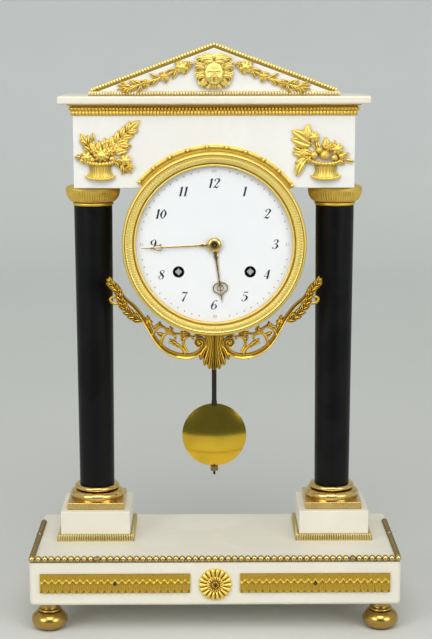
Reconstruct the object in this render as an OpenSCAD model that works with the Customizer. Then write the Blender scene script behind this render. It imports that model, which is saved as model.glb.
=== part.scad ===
// Portico mantel clock: a drum movement held in a marble entablature on two columns.
// Millimetres. +X to the viewer's right, -Y towards the viewer, +Z up, origin under the middle.

/* [Base] */
// Width of the marble base slab
base_w = 297.6; // [280:0.2:330]
// Depth of the marble base slab
base_d = 124.8; // [123:0.2:150]
// Height of the marble base slab
base_h = 37; // [32:0.5:46]
// Height of the turned feet
foot_h = 26.7; // [24:0.1:34]
// Largest diameter of a foot
foot_dia = 29; // [26:0.5:32]
// Distance of the foot axes in from the ends of the base
foot_inset_x = 14.1; // [14:0.1:30]
// Distance of the foot axes in from the front and back of the base
foot_inset_y = 18.4; // [16:0.1:30]
// Diameter of the beads round the base
bead_dia = 4.5; // [3.6:0.1:5]
// Spacing of the beads round the base
bead_pitch = 5.15; // [5.05:0.05:7]
// Length of the bead rows along the sides of the base
side_bead_len = 96; // [60:1:110]
// Length of a gilt frieze panel on the base
panel_w = 120; // [90:1:124]
// Height of a gilt frieze panel on the base
panel_h = 16; // [12:0.5:24]
// Distance of the inner end of a panel from the middle of the base
panel_in = 20; // [17:0.5:24]
// Diameter of the rosette in the middle of the base
rosette_dia = 26.4; // [20:0.2:30]
// How far the rosette stands out of the base
rosette_t = 3.6; // [2.6:0.1:6]

/* [Columns] */
// Distance between the column axes
col_spacing = 197.3; // [190:0.1:206]
// Distance of the column axes behind the middle of the base
col_setback = 15.6; // [8:0.1:20]
// Side of a square pedestal
ped_w = 57.3; // [50:0.1:62]
// Height of a pedestal
ped_h = 24.5; // [18:0.5:40]
// Height of the ribbed moulding round a pedestal
ped_mould_h = 4.2; // [3:0.1:8]
// How far that moulding stands out of the pedestal
ped_mould_t = 3.1; // [2:0.1:5]
// Side of the square plinth of a column base
col_plinth_w = 46.8; // [46:0.1:50]
// Height of that square plinth
col_plinth_h = 5.7; // [4:0.1:9]
// Height of the turned part of a column base
col_base_h = 11.4; // [10.5:0.1:16]
// Diameter of the turned part of a column base
col_base_dia = 44.6; // [40:0.1:46]
// Height of a column shaft
col_h = 234.1; // [225:0.5:260]
// Diameter of a column shaft at its foot
col_dia_low = 28.8; // [26:0.1:32]
// Diameter of a column shaft at its top
col_dia_high = 31.2; // [28:0.1:32]
// Height of a capital
cap_h = 16.2; // [13:0.1:24]
// Diameter of the rim of a capital
cap_dia = 44.8; // [40:0.1:50]
// Diameter of the iron rods that tie the columns to base and entablature
rod_dia = 6; // [5:0.5:8]

/* [Entablature] */
// Width of the marble entablature
ent_w = 223.3; // [216:0.1:240]
// Depth of the marble entablature
ent_d = 62.8; // [56:0.1:70]
// Height of the marble entablature
ent_h = 66.3; // [60:0.1:76]
// Height of the gilt moulding under the cornice
frieze_h = 8.9; // [6:0.1:10]
// Thickness of that moulding
frieze_t = 1.5; // [1:0.1:3]
// Height of the marble cornice
cornice_h = 6.4; // [5:0.1:10]
// Overhang of the cornice at the sides
cornice_over_x = 11.7; // [6:0.1:16]
// Overhang of the cornice at the front
cornice_over_front = 9; // [5:0.1:14]
// Overhang of the cornice at the back
cornice_over_back = 4; // [0:0.5:8]
// Width of the pediment
pedi_w = 202; // [180:1:220]
// Rise of the pediment's marble
pedi_rise = 37.3; // [30:0.1:48]
// Depth of the pediment
pedi_d = 56; // [40:1:62]
// Diameter of the beads up the pediment
pedi_bead_dia = 3.4; // [2.6:0.1:4]
// Spacing of the beads up the pediment
pedi_bead_pitch = 3.7; // [3.5:0.05:6]
// Height of the milled strip along the foot of the pediment
pedi_strip_h = 3.7; // [2.5:0.1:6]

/* [Ornament] */
// How far the flat ornament stands out of its ground
ornament_t = 3; // [2:0.1:5]
// Radius of the bead-and-reel border over the dial
reel_r = 76.6; // [76.4:0.1:80]
// Thickness of the arms of the scroll mount
scroll_t = 3.2; // [2.4:0.1:4]
// Half width from the middle to the tips of the scroll mount
scroll_reach = 87.4; // [85:0.1:88]

/* [Drum and dial] */
// Distance of the dial's middle below the entablature's underside
dial_drop = 44.6; // [38:0.1:50]
// Outer diameter of the drum
drum_dia = 140; // [138:0.5:143]
// Wall of the drum
drum_wall = 1.5; // [1:0.1:2.5]
// Length of the drum
drum_len = 71; // [70:0.2:71.4]
// Diameter of the enamel dial
dial_dia = 131; // [129:0.5:132]
// Thickness of the enamel dial
dial_t = 1.6; // [1.2:0.1:2]
// Outer diameter of the bezel
bezel_dia = 147.8; // [147:0.1:149]
// Diameter of the opening in the bezel
bezel_open_dia = 125; // [124:0.5:128]
// How far the bezel stands out of the dial surround
bezel_h = 7.7; // [7.2:0.1:10]
// Height of the dome of the glass
glass_rise = 7.4; // [6:0.1:10]
// Thickness of the glass
glass_t = 1.4; // [1:0.1:2]
// Diameter of the winding holes
wind_hole_dia = 9; // [8:0.5:10]
// Length of the minute hand
minute_len = 58.5; // [52:0.5:60]
// Length of the hour hand
hour_len = 44.8; // [38:0.2:46]

/* [Movement] */
// Diameter of the movement plates
plate_dia = 116; // [114:0.5:118]
// Thickness of the movement plates
plate_t = 2.5; // [2:0.1:2.8]
// Distance between the plates
plate_gap = 32; // [31.5:0.1:33]
// Diameter of the pillars between the plates
pillar_dia = 6; // [5:0.2:7]
// Radial play of pivots and other running fits
play = 0.05; // [0.03:0.01:0.08]
// Teeth of the great wheels
great_n = 80; // [80:1:80]
// Teeth of the escape wheel
escape_n = 36; // [30:1:40]
// Diameter of the bell
bell_dia = 64; // [56:1:66]

/* [Pendulum] */
// Diameter of the pendulum bob
bob_dia = 54.5; // [46:0.5:60]
// Thickness of the pendulum bob
bob_t = 9; // [6:0.5:12]
// Distance from the pivot down to the middle of the bob
pend_len = 210.5; // [196:0.5:214]
// Width of the flat pendulum rod
pend_rod_w = 4; // [3:0.1:5]
// Thickness of the flat pendulum rod
pend_rod_t = 1.6; // [1.2:0.1:2]

/* [Hidden] */
$fn = 48;

// Colours
marble_c = [0.93, 0.91, 0.86];
black_c = [0.05, 0.05, 0.05];
gilt_c = [0.80, 0.60, 0.20];
brass_c = [0.76, 0.62, 0.30];
steel_c = [0.45, 0.46, 0.48];
iron_c = [0.22, 0.21, 0.20];
enamel_c = [0.96, 0.96, 0.94];
glass_c = [0.85, 0.90, 0.92, 0.3];

// Clearances
eps = 0.01;        // overshoot of a cut
slip = 0.2;        // play of a rod or stem in its hole
seat = 0.15;       // gap of a piece seated in a round recess
run = 0.3;         // gap between neighbours that move past each other

// Levels, from the floor up
z_base = foot_h;
z_ped = z_base + base_h;
z_plinth = z_ped + ped_h;
z_torus = z_plinth + col_plinth_h;
z_col = z_torus + col_base_h;
z_cap = z_col + col_h;
z_ent = z_cap + cap_h;
z_cor = z_ent + ent_h;
z_pedi = z_cor + cornice_h;
dial_z = z_ent - dial_drop;

// Places front to back: the rosette's thickness is shared so that the origin is in the middle
y_mid = rosette_t / 2;
y_front = y_mid - base_d / 2;
col_x = col_spacing / 2;
col_y = y_mid + col_setback;
ent_front = col_y - ent_d / 2;
pedi_front = ent_front;
pedi_slope = atan2(pedi_rise, pedi_w / 2);

// Tie rods
rod_hole = rod_dia / 2 + slip;
nut_r = rod_dia;
nut_h = rod_dia * 0.8;
nut_pocket = nut_h + 2;
nut_room = nut_r + 1;

// Stems of the feet
stem_r = 2.5;
stem_h = 12;

// Depths in the dial frame: 0 is the entablature's front, positive is towards the viewer
ring_t = 1.5;
dial_d0 = ring_t;
dial_d1 = dial_d0 + dial_t;
bezel_d0 = ring_t + 0.1;
bezel_d1 = bezel_d0 + bezel_h;
plate_d0 = -7.3;
plate_d1 = plate_d0 - plate_t;
back_d0 = plate_d1 - plate_gap;
back_d1 = back_d0 - plate_t;
rear_ring_t = 3;
rear_d0 = -drum_len - rear_ring_t;
door_t = 1.4;
door_gap = 0.3;
pend_d = back_d1 - 8.5;

// Radii in the dial frame
drum_r = drum_dia / 2;
surround_r = drum_r + 2;
surround_in_r = 53.5;
dial_r = dial_dia / 2;
bezel_r = bezel_dia / 2;
bezel_in_r = bezel_open_dia / 2;
plate_r = plate_dia / 2;
hinge_r = 1.7;
hinge_x = bezel_r - hinge_r - 0.1;
hinge_pin_r = 0.8;
hinge_d = bezel_d0 - hinge_r - 0.15;
knuckle_h = 4;
knuckle_gap = 0.15;
rear_hinge_x = drum_r + 3.6;
door_r = drum_r - 3;
door_hinge_d = rear_d0 - door_gap - hinge_r;

// Wheel train: modules, teeth and places in the dial frame
m_great = 0.5;
m_second = 0.45;
m_centre = 0.40;
m_third = 0.38;
m_pin = 0.42;
m_lock = 0.36;
leaf_low = 10;
leaf_high = 8;
second_n = 72;
centre_n = 84;
third_n = 84;
pin_n = 56;
lock_n = 50;
barrel_x = 28.7;
barrel_drop = 22.2;
p_going = [barrel_x, -barrel_drop];
p_strike = [-barrel_x, -barrel_drop];
p_centre = [0, 0];
second_dist = (second_n + leaf_low) * m_second / 2;
p_second = meet(p_centre, second_dist, p_going, (great_n + leaf_low) * m_great / 2);
third_dir = 130;
p_third = (centre_n + leaf_high) * m_centre / 2 * [cos(third_dir), sin(third_dir)];
third_dist = (third_n + leaf_high) * m_third / 2;
p_escape = [0, p_third[1] + sqrt(third_dist * third_dist - p_third[0] * p_third[0])];
anchor_rise = 13.5;
p_anchor = p_escape + [0, anchor_rise];
pin_dir = 110.3;
p_pin = p_strike + (great_n + leaf_low) * m_great / 2 * [cos(pin_dir), sin(pin_dir)];
lock_dir = 95;
p_lock = p_pin + (pin_n + leaf_high) * m_pin / 2 * [cos(lock_dir), sin(lock_dir)];
fly_dir = 75;
p_fly = p_lock + (lock_n + leaf_high) * m_lock / 2 * [cos(fly_dir), sin(fly_dir)];
arbors = [p_centre, p_second, p_third, p_escape, p_pin, p_lock, p_fly];

// Motion work under the dial
m_minute = 0.5;
m_hour = 0.48;
cannon_n = 12;
minute_n = 36;
hour_n = 40;
minute_dir = 50;
minute_dist = (cannon_n + minute_n) * m_minute / 2;
p_minute = minute_dist * [cos(minute_dir), sin(minute_dir)];
cannon_r = 1.8;
hour_pipe_r = 2.6;
centre_r = 1;
post_r = 1.2;

// Places of the wheels behind the front plate: start and end of each
great_lv = [21, 23.2];
low_lv = [20.6, 23.8];
second_lv = [25.3, 26.7];
centre_leaf_lv = [24.8, 27.2];
centre_lv = [28.4, 29.8];
third_leaf_lv = [27.9, 30.3];
third_lv = [16, 17.3];
escape_leaf_lv = [15.4, 17.9];
escape_lv = [23, 24.2];
lock_lv = [14, 15.2];
fly_leaf_lv = [13.4, 15.8];
fly_lv = [18, 28];
barrel_lv = [2, 21];
barrel_r = 18.5;

// Pivots and arbors
pivot_r = 0.7;
arbor_r = 0.9;
shoulder = 0.3;
wind_r = 2.2;
wind_square = 4;
wind_pivot_r = 2;
ratchet_n = 24;
ratchet_r = 7;
ratchet_d = plate_d0 + 0.4;
ratchet_t = 1.4;
ratchet_depth = 1;

// Pillars, posts and straps of the movement
pillar_pcr = 51;
pillar_dirs = [45, 135, 250, 290];
spigot_r = 1.6;
post_pcr = 55.5;
post_dirs = [25, 155, 205, 335];
foot_post_r = 1.8;
strap_r0 = 61.5;
strap_t = 2.5;
strap_w = 8;

// Pendulum, crutch, bell and hammer
cock_half = 13;
cock_leg = 3.2;
cock_t = 2.4;
cock_pin_r = 1;
crutch_len = 28;
crutch_t = 1.2;
bob_z = dial_z + p_anchor[1] - pend_len;
thread_r = 1;
nut_dia = 6.5;
rating_h = 4;
thread_tip = 3.5;
p_bell = [-26, 4];
bell_d0 = pend_d - 4;
bell_depth = 13;
bell_wall = 1.5;
p_hammer = [-46, -12];
hammer_dir = -99;
hammer_r = 4;
hammer_gap = 0.9;
p_head = p_bell + (bell_dia / 2 + hammer_gap + hammer_r) * [cos(hammer_dir), sin(hammer_dir)];

// Bearings of toothed pairs: angle of the line from one centre to the other
function dir_of(a, b) = atan2(b[1] - a[1], b[0] - a[0]);
// Point at distance ra from a and rb from b, on the left of the way from b to a
function meet(a, ra, b, rb) =
    let (d = norm(b - a), u = (b - a) / d)
    let (s = (ra * ra - rb * rb + d * d) / (2 * d), h = sqrt(ra * ra - s * s))
    a + s * u + h * [-u[1], u[0]];
// Turn of a driven pinion or wheel so that a gap of it faces a tooth of its driver
function mesh_turn(na, turn_a, dir, nb) = dir + 180 - (na * (turn_a - dir) + 180) / nb;
turn_second = mesh_turn(great_n, 0, dir_of(p_going, p_second), leaf_low);
turn_centre = mesh_turn(second_n, turn_second, dir_of(p_second, p_centre), leaf_low);
turn_third = mesh_turn(centre_n, turn_centre, dir_of(p_centre, p_third), leaf_high);
turn_escape = mesh_turn(third_n, turn_third, dir_of(p_third, p_escape), leaf_high);
turn_pin = mesh_turn(great_n, 0, dir_of(p_strike, p_pin), leaf_low);
turn_lock = mesh_turn(pin_n, turn_pin, dir_of(p_pin, p_lock), leaf_high);
turn_fly = mesh_turn(lock_n, turn_lock, dir_of(p_lock, p_fly), leaf_high);
turn_minute = mesh_turn(cannon_n, 0, minute_dir, minute_n);
turn_hour = mesh_turn(leaf_low, turn_minute, minute_dir + 180, hour_n);
minute_at = -177;
hour_at = -82.25;

// Frames and repeats

module pair() {
    children();
    mirror([1, 0, 0]) children();
}

// Dial frame: x right, y up, z towards the viewer, from the dial's middle
module dial_frame() {
    translate([0, ent_front, dial_z]) rotate([90, 0, 0]) children();
}

// Ground of an ornament on the entablature or pediment: x right, y up from the floor
module front_frame(y) {
    translate([0, y, 0]) rotate([90, 0, 0]) children();
}

module at_columns() {
    for (s = [-1, 1]) translate([s * col_x, col_y, 0]) children();
}

module disc(r, z0, z1) {
    translate([0, 0, z0]) cylinder(r = r, h = z1 - z0);
}

module tube(r_out, r_in, z0, z1) {
    difference() {
        disc(r_out, z0, z1);
        disc(r_in, z0 - 1, z1 + 1);
    }
}

module slab(w, h, z0, z1) {
    translate([-w / 2, -h / 2, z0]) cube([w, h, z1 - z0]);
}

// Turned ring of round section
module bead_ring(r_out, tube_r, z) {
    translate([0, 0, z]) rotate_extrude() translate([r_out - tube_r, 0]) circle(tube_r);
}

// Row of beads on a thin wire along +X, cut flat underneath
module bead_row(len, dia, pitch) {
    count = floor(len / pitch);
    first = (len - (count - 1) * pitch) / 2;
    sink = dia * 0.38;
    difference() {
        union() {
            for (i = [0 : count - 1]) translate([first + i * pitch, 0, sink]) sphere(d = dia);
            translate([0, 0, sink]) rotate([0, 90, 0]) cylinder(d = dia * 0.5, h = len);
        }
        translate([-1, -dia, -dia]) cube([len + 2, 2 * dia, dia]);
    }
}

// Leaf: a pointed plate from the origin along +X
module leaf(len, wide, thick) {
    bow = (len * len / 4 + wide * wide / 4) / wide;
    intersection() {
        translate([len / 2, wide / 2 - bow, 0]) cylinder(r = bow, h = thick);
        translate([len / 2, bow - wide / 2, 0]) cylinder(r = bow, h = thick);
    }
}

// Opposite pairs of leaves on a stem along +X, clear of each other, and one leaf at the end
module spray(pairs, leaf_l, leaf_w, thick) {
    lean = 40;
    pitch = (leaf_w + 0.7) / sin(lean);
    translate([0, -thick * 0.4, 0]) cube([pairs * pitch, thick * 0.8, thick * 1.25]);
    for (i = [0 : pairs - 1], s = [-1, 1])
        translate([pitch * (i + 0.25), 0, 0]) rotate(s * lean) leaf(leaf_l, leaf_w, thick);
    translate([pairs * pitch - 0.6, 0, 0]) leaf(leaf_l, leaf_w, thick * 1.1);
}

// Flower: round petals about a middle bud, on a flat ground
module flower(r, petals, thick) {
    for (a = [0 : petals - 1])
        rotate(a * 360 / petals) translate([r * 0.55, 0, 0]) cylinder(r = r * 0.45, h = thick * 0.8);
    cylinder(r = r * 0.6, h = thick * 0.8);
    difference() {
        translate([0, 0, thick * 0.8]) sphere(r = r * 0.35);
        translate([-r, -r, -r]) cube([2 * r, 2 * r, r]);
    }
}

// Berry: a ball cut flat on its ground
module berry(r) {
    difference() {
        translate([0, 0, r * 0.45]) sphere(r);
        translate([-2 * r, -2 * r, -3 * r]) cube([4 * r, 4 * r, 3 * r]);
    }
}

// Bar of square section bent round the origin from angle a0 to a1
module bent_bar(r, wide, thick, a0, a1) {
    rotate(a0) rotate_extrude(angle = a1 - a0) translate([r - wide / 2, 0]) square([wide, thick]);
}

// Outline of a wheel: root, tip, tip and root of each tooth
function tooth_points(n, m, add, ded, tip, root) =
    let (r = n * m / 2, corner = [[-root, r - ded * m], [-tip, r + add * m],
                                  [tip, r + add * m], [root, r - ded * m]])
    [for (i = [0 : n - 1], k = corner) k[1] * [cos(360 / n * (i + k[0])), sin(360 / n * (i + k[0]))]];

module toothed(n, m, z0, z1) {
    translate([0, 0, z0]) linear_extrude(z1 - z0) polygon(tooth_points(n, m, 0.9, 1.1, 0.10, 0.22));
}

module pinion(n, m, z0, z1) {
    translate([0, 0, z0]) linear_extrude(z1 - z0) polygon(tooth_points(n, m, 0.5, 1.3, 0.10, 0.20));
}

// Wheel with its rim, crossings and hub
module crossed_wheel(n, m, z0, z1, spokes) {
    rim_in = n * m / 2 - 4.2 * m - 0.6;
    hub = 2.2;
    spoke = 1.6;
    difference() {
        toothed(n, m, z0, z1);
        disc(rim_in, z0 - 1, z1 + 1);
    }
    disc(hub, z0, z1);
    for (a = [0 : spokes - 1])
        rotate(a * 360 / spokes) translate([hub / 2, -spoke / 2, z0])
            cube([rim_in - hub / 2 + 0.3, spoke, z1 - z0]);
}

// Depth of a level behind the front plate
function behind(lv) = plate_d1 - lv;

// Arbor between the plates with a pivot at each end
module arbor(r) {
    disc(r, behind(plate_gap - shoulder), behind(shoulder));
    disc(pivot_r, behind(plate_gap + plate_t - 0.2), behind(0.2 - plate_t));
}

module train_wheel(p, turn, wheel_n, wheel_m, wheel_lv, leaf_n, leaf_m, leaf_lv) {
    translate([p[0], p[1], 0]) rotate(turn) {
        crossed_wheel(wheel_n, wheel_m, behind(wheel_lv[1]), behind(wheel_lv[0]), 4);
        pinion(leaf_n, leaf_m, behind(leaf_lv[1]), behind(leaf_lv[0]));
        arbor(arbor_r);
    }
}

// Case

module base_plinth() {
    color(marble_c) difference() {
        translate([-base_w / 2, y_front, z_base]) cube([base_w, base_d, base_h]);
        at_columns() {
            disc(rod_hole, z_base - 1, z_ped + 1);
            disc(nut_room, z_base - 1, z_base + nut_pocket);
        }
        at_feet() disc(stem_r + slip, z_base - 1, z_base + stem_h + 1);
    }
}

module at_feet() {
    for (sx = [-1, 1], sy = [-1, 1])
        translate([sx * (base_w / 2 - foot_inset_x), y_mid + sy * (base_d / 2 - foot_inset_y), 0]) children();
}

module feet() {
    bulge = 7.2;
    bulge_z = 8;
    color(gilt_c) at_feet() {
        bead_ring(foot_dia / 2, bulge, bulge_z);
        disc(foot_dia / 2 - bulge, 0, bulge_z + bulge);
        disc(foot_dia * 0.3, 0, 2.5);
        disc(foot_dia * 0.375, bulge_z + bulge - 3, bulge_z + bulge - 0.4);
        bead_ring(foot_dia * 0.31, 1.1, bulge_z + bulge + 0.9);
        disc(foot_dia * 0.24, bulge_z, foot_h);
        disc(stem_r, foot_h - 1, foot_h + stem_h);
    }
}

module base_beads() {
    inset = bead_dia / 2 + 0.2;
    row_x = base_w / 2 - inset;
    row_y = y_front + inset;
    color(gilt_c) {
        translate([-row_x - bead_pitch / 2, row_y, z_ped])
            bead_row(2 * row_x + bead_pitch, bead_dia, bead_pitch);
        for (s = [-1, 1])
            translate([s * row_x, row_y + bead_pitch * 0.6, z_ped]) rotate(90)
                bead_row(side_bead_len, bead_dia, bead_pitch);
    }
}

module frieze_panels() {
    panel_t = 1.2;
    rib = 0.8;
    color(gilt_c) pair() front_frame(y_front)
        translate([panel_in, z_base + (base_h - panel_h) / 2, 0]) {
            cube([panel_w, panel_h, panel_t]);
            translate([0, panel_h / 2 - rib, 0]) cube([panel_w, 2 * rib, panel_t + rib]);
            for (e = [0, panel_h - rib]) translate([0, e, 0]) cube([panel_w, rib, panel_t + rib / 2]);
        }
}

module base_rosette() {
    petals = 18;
    petal_r = rosette_dia * 0.082;
    color(gilt_c) front_frame(y_front) translate([0, z_base + base_h / 2, 0]) {
        cylinder(r = rosette_dia / 2 - petal_r, h = rosette_t * 0.5);
        for (a = [0 : petals - 1])
            rotate(a * 360 / petals) translate([rosette_dia / 2 - petal_r, 0, 0])
                cylinder(r = petal_r, h = rosette_t * 0.6);
        translate([0, 0, rosette_t * 0.4])
            cylinder(r1 = rosette_dia * 0.36, r2 = rosette_dia * 0.16, h = rosette_t * 0.6);
    }
}

module pedestals() {
    color(marble_c) at_columns() difference() {
        slab(ped_w, ped_w, z_ped, z_plinth);
        disc(rod_hole, z_ped - 1, z_plinth + 1);
    }
}

// Square frame whose outside is milled into upright ribs
function ribbed_side(half, count, depth) =
    [for (i = [0 : count - 1], k = [[0.1, depth], [0.6, 0]])
        [half * (2 * (i + k[0]) / count - 1), half - k[1]]];

module ribbed_square(half, pitch, depth, h) {
    count = round(2 * half / pitch);
    linear_extrude(h)
        polygon([for (q = [0 : 3], p = ribbed_side(half, count, depth))
            [p[0] * cos(-90 * q) - p[1] * sin(-90 * q), p[0] * sin(-90 * q) + p[1] * cos(-90 * q)]]);
}

module pedestal_mouldings() {
    rib_pitch = 1.8;
    color(gilt_c) at_columns() translate([0, 0, z_ped]) difference() {
        ribbed_square(ped_w / 2 + ped_mould_t, rib_pitch, 0.5, ped_mould_h);
        slab(ped_w, ped_w, -1, ped_mould_h + 1);
    }
}

module column_bases() {
    big = 3.4;
    small = 2.1;
    neck = col_base_dia / 2 - 6.6;
    color(gilt_c) at_columns() difference() {
        union() {
            slab(col_plinth_w, col_plinth_w, z_plinth, z_torus);
            bead_ring(col_base_dia / 2, big, z_torus + big);
            disc(col_base_dia / 2 - big, z_torus - eps, z_torus + 2 * big);
            disc(neck, z_torus, z_col);
            bead_ring(neck + 2, small, z_col - small);
        }
        disc(rod_hole, z_plinth - 1, z_col + 1);
    }
}

module columns() {
    color(black_c) at_columns() difference() {
        translate([0, 0, z_col]) cylinder(d1 = col_dia_low, d2 = col_dia_high, h = col_h);
        disc(rod_hole, z_col - 1, z_cap + 1);
    }
}

module capitals() {
    ring = 1.5;
    lip = cap_h * 0.2;
    low_r = col_dia_high / 2 + 0.2;
    rim_r = cap_dia / 2;
    bowl_h = cap_h - lip - 2 * ring;
    color(gilt_c) at_columns() difference() {
        union() {
            bead_ring(low_r + 0.9, ring, z_cap + ring);
            translate([0, 0, z_cap]) rotate_extrude() polygon(concat(
                [[0, 0], [low_r - 0.4, 0], [low_r - 0.4, 2 * ring]],
                [for (a = [0 : 15 : 90])
                    [low_r + (rim_r - low_r - 0.5) * sin(a), 2 * ring + bowl_h * (1 - cos(a))]],
                [[rim_r, cap_h - lip], [rim_r, cap_h - 0.8], [rim_r - 0.6, cap_h], [0, cap_h]]));
        }
        disc(rod_hole, z_cap - 1, z_ent + 1);
    }
}

module tie_rods() {
    low = z_base + nut_pocket - nut_h;
    high = z_cor - nut_pocket;
    color(iron_c) at_columns() {
        disc(rod_dia / 2, low - 1, high + nut_h + 1);
        translate([0, 0, low]) cylinder(r = nut_r, h = nut_h, $fn = 6);
        translate([0, 0, high]) cylinder(r = nut_r, h = nut_h, $fn = 6);
    }
}

module entablature() {
    color(marble_c) difference() {
        translate([-ent_w / 2, ent_front, z_ent]) cube([ent_w, ent_d, ent_h]);
        dial_frame() disc(drum_r + seat, -ent_d - 1, 1);
        at_columns() {
            disc(rod_hole, z_ent - 1, z_cor + 1);
            disc(nut_room, z_cor - nut_pocket, z_cor + 1);
        }
    }
}

// Moulding round the front and ends of the entablature: leaf band, bead row and cavetto
module entablature_frieze() {
    steps = [[0, 0.4, 0.5], [0.25, 0.75, 1], [0.75, 1, 0.65]];
    z0 = z_cor - frieze_h;
    color(gilt_c) difference() {
        union() {
            for (s = steps)
                translate([-ent_w / 2 - frieze_t * s[2], ent_front - frieze_t * s[2], z0 + frieze_h * s[0]])
                    cube([ent_w + 2 * frieze_t * s[2], ent_d, frieze_h * (s[1] - s[0])]);
            translate([-ent_w / 2 - frieze_t, ent_front - frieze_t, z0 + frieze_h / 2])
                rotate([0, 90, 0]) cylinder(r = frieze_h * 0.2, h = ent_w + 2 * frieze_t);
            for (s = [-1, 1])
                translate([s * (ent_w / 2 + frieze_t), ent_front - frieze_t, z0 + frieze_h / 2])
                    rotate([-90, 0, 0]) cylinder(r = frieze_h * 0.2, h = ent_d + frieze_t / 3);
        }
        translate([-ent_w / 2, ent_front, z0 - 1]) cube([ent_w, ent_d + 10, frieze_h + 2]);
    }
}

module cornice() {
    deep = ent_d + cornice_over_front + cornice_over_back;
    color(marble_c) translate([-ent_w / 2 - cornice_over_x, ent_front - cornice_over_front, z_cor])
        cube([ent_w + 2 * cornice_over_x, deep, cornice_h]);
}

module pediment() {
    color(marble_c) translate([0, pedi_front + pedi_d, z_pedi]) rotate([90, 0, 0])
        linear_extrude(pedi_d) polygon([[-pedi_w / 2, 0], [pedi_w / 2, 0], [0, pedi_rise]]);
}

module pediment_beads() {
    tape = 0.8;
    tape_w = 4;
    apex = [0, pedi_rise];
    down = [cos(pedi_slope), -sin(pedi_slope)];
    out = [sin(pedi_slope), cos(pedi_slope)];
    foot = apex + down * (norm([pedi_w / 2, pedi_rise]) - 0.5);
    count = floor((norm(foot - apex) - pedi_bead_dia / 2) / pedi_bead_pitch);
    lift = tape + pedi_bead_dia * 0.3;
    color(gilt_c) translate([0, pedi_front + tape_w, z_pedi]) rotate([90, 0, 0]) {
        pair() linear_extrude(tape_w)
            polygon([apex, foot, foot + tape * out, apex + [0, tape / cos(pedi_slope)]]);
        pair() for (i = [1 : count]) {
            spot = apex + down * (i * pedi_bead_pitch) + out * lift;
            translate([spot[0], spot[1], tape_w / 2]) sphere(d = pedi_bead_dia);
        }
        translate([0, pedi_rise + lift, tape_w / 2]) sphere(d = pedi_bead_dia * 1.1);
    }
}

module pediment_moulding() {
    rib_pitch = 2.4;
    strip_t = 1.6;
    count = floor((pedi_w - 4) / rib_pitch);
    w = count * rib_pitch;
    color(gilt_c) translate([-w / 2, pedi_front, z_pedi]) linear_extrude(pedi_strip_h)
        polygon(concat([[w, 0], [0, 0]],
            [for (i = [0 : count - 1], k = [[0.2, 0.6], [0.8, 1]])
                [(i + k[0]) * rib_pitch, -strip_t * k[1]]]));
}

// Ornament on the pediment: a small mask with curled hair between two garlands

module mask() {
    mask_z = z_pedi + 19.3;
    head_r = 9;
    color(gilt_c) front_frame(pedi_front) translate([0, mask_z, 0]) {
        difference() {
            union() {
                translate([0, -1, -head_r * 0.35]) sphere(head_r);
                translate([0, -2.2, head_r * 0.35]) sphere(head_r * 0.62);
                for (a = [-30 : 20 : 210]) rotate(a) translate([10.6, 0, 1.2]) sphere(3.4);
                for (a = [0 : 22.5 : 180]) rotate(a) translate([7.4, 0, 3.2]) sphere(2.7);
                for (a = [-130 : 20 : -50]) rotate(a) translate([10.4, 0, 0.8]) sphere(3);
            }
            translate([-20, -20, -20]) cube([40, 40, 20]);
        }
    }
}

module garlands() {
    g_start = [17, z_pedi + 25];
    g_end = [76, z_pedi + 7.6];
    drop = atan2(g_end[1] - g_start[1], g_end[0] - g_start[0]);
    len = norm(g_end - g_start);
    color(gilt_c) pair() front_frame(pedi_front) translate([g_start[0], g_start[1], 0]) rotate(drop) {
        spray(6, 9, 4.6, ornament_t * 0.5);
        for (t = [0.02, 0.3, 0.55]) translate([len * t, 0, 0]) flower(4.2 - 2 * t, 5, ornament_t);
        translate([len * 0.8, 0, 0]) leaf(len * 0.2, 3.4, ornament_t * 0.4);
    }
}

// Flower baskets on the entablature, seen from the front in low relief

basket_h = 13.6;
basket_w = 24;
basket_lift = 6.5;

// Footed, flared basket: a slice of a turned bowl
module basket_bowl() {
    deep = 14;
    slices = [[0, 3, 16.6, 16.6], [3, 11, 15.8, 17.4], [11, basket_h, 18, 18]];
    intersection() {
        union() for (s = slices)
            translate([0, s[0], -deep]) rotate([-90, 0, 0]) cylinder(r1 = s[2], r2 = s[3], h = s[1] - s[0]);
        translate([-basket_w / 2, 0, 0]) cube([basket_w, basket_h, deep]);
    }
}

// Heap of blooms over a basket, with leaves and one long spray thrown out of it
module posy(spray_dir, pairs, leaf_dirs, hang) {
    mound_r = 9;
    mound_y = basket_h + 4.5;
    t = ornament_t * 0.5;
    translate([0, mound_y, 0]) {
        cylinder(r = mound_r, h = ornament_t * 0.7);
        for (p = [[-5.2, -1.5, 3.2], [0.4, 3.6, 3.4], [5.4, -1.2, 3.2]])
            translate([p[0], p[1], ornament_t * 0.5]) berry(p[2]);
        rotate(spray_dir) translate([mound_r - 3, 0, 0]) spray(pairs, 9.5, 4.4, t);
        for (a = leaf_dirs) rotate(a) translate([mound_r - 3, 0, 0]) leaf(14, 5, t);
        rotate(hang[0]) translate([mound_r - 3, -0.7, 0]) cube([hang[1] - mound_r + 3, 1.4, t]);
        rotate(hang[0]) translate([hang[1], 0, 0]) flower(4, 5, ornament_t);
    }
}

module flower_basket_left() {
    color(gilt_c) front_frame(ent_front) translate([-89.5, z_ent + basket_lift, 0]) {
        basket_bowl();
        posy(57, 3, [100, 135, 170], [-20, 20]);
    }
}

module flower_basket_right() {
    color(gilt_c) front_frame(ent_front) translate([87.5, z_ent + basket_lift, 0]) {
        basket_bowl();
        posy(135, 3, [88, 48, 12], [200, 21]);
    }
}

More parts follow.
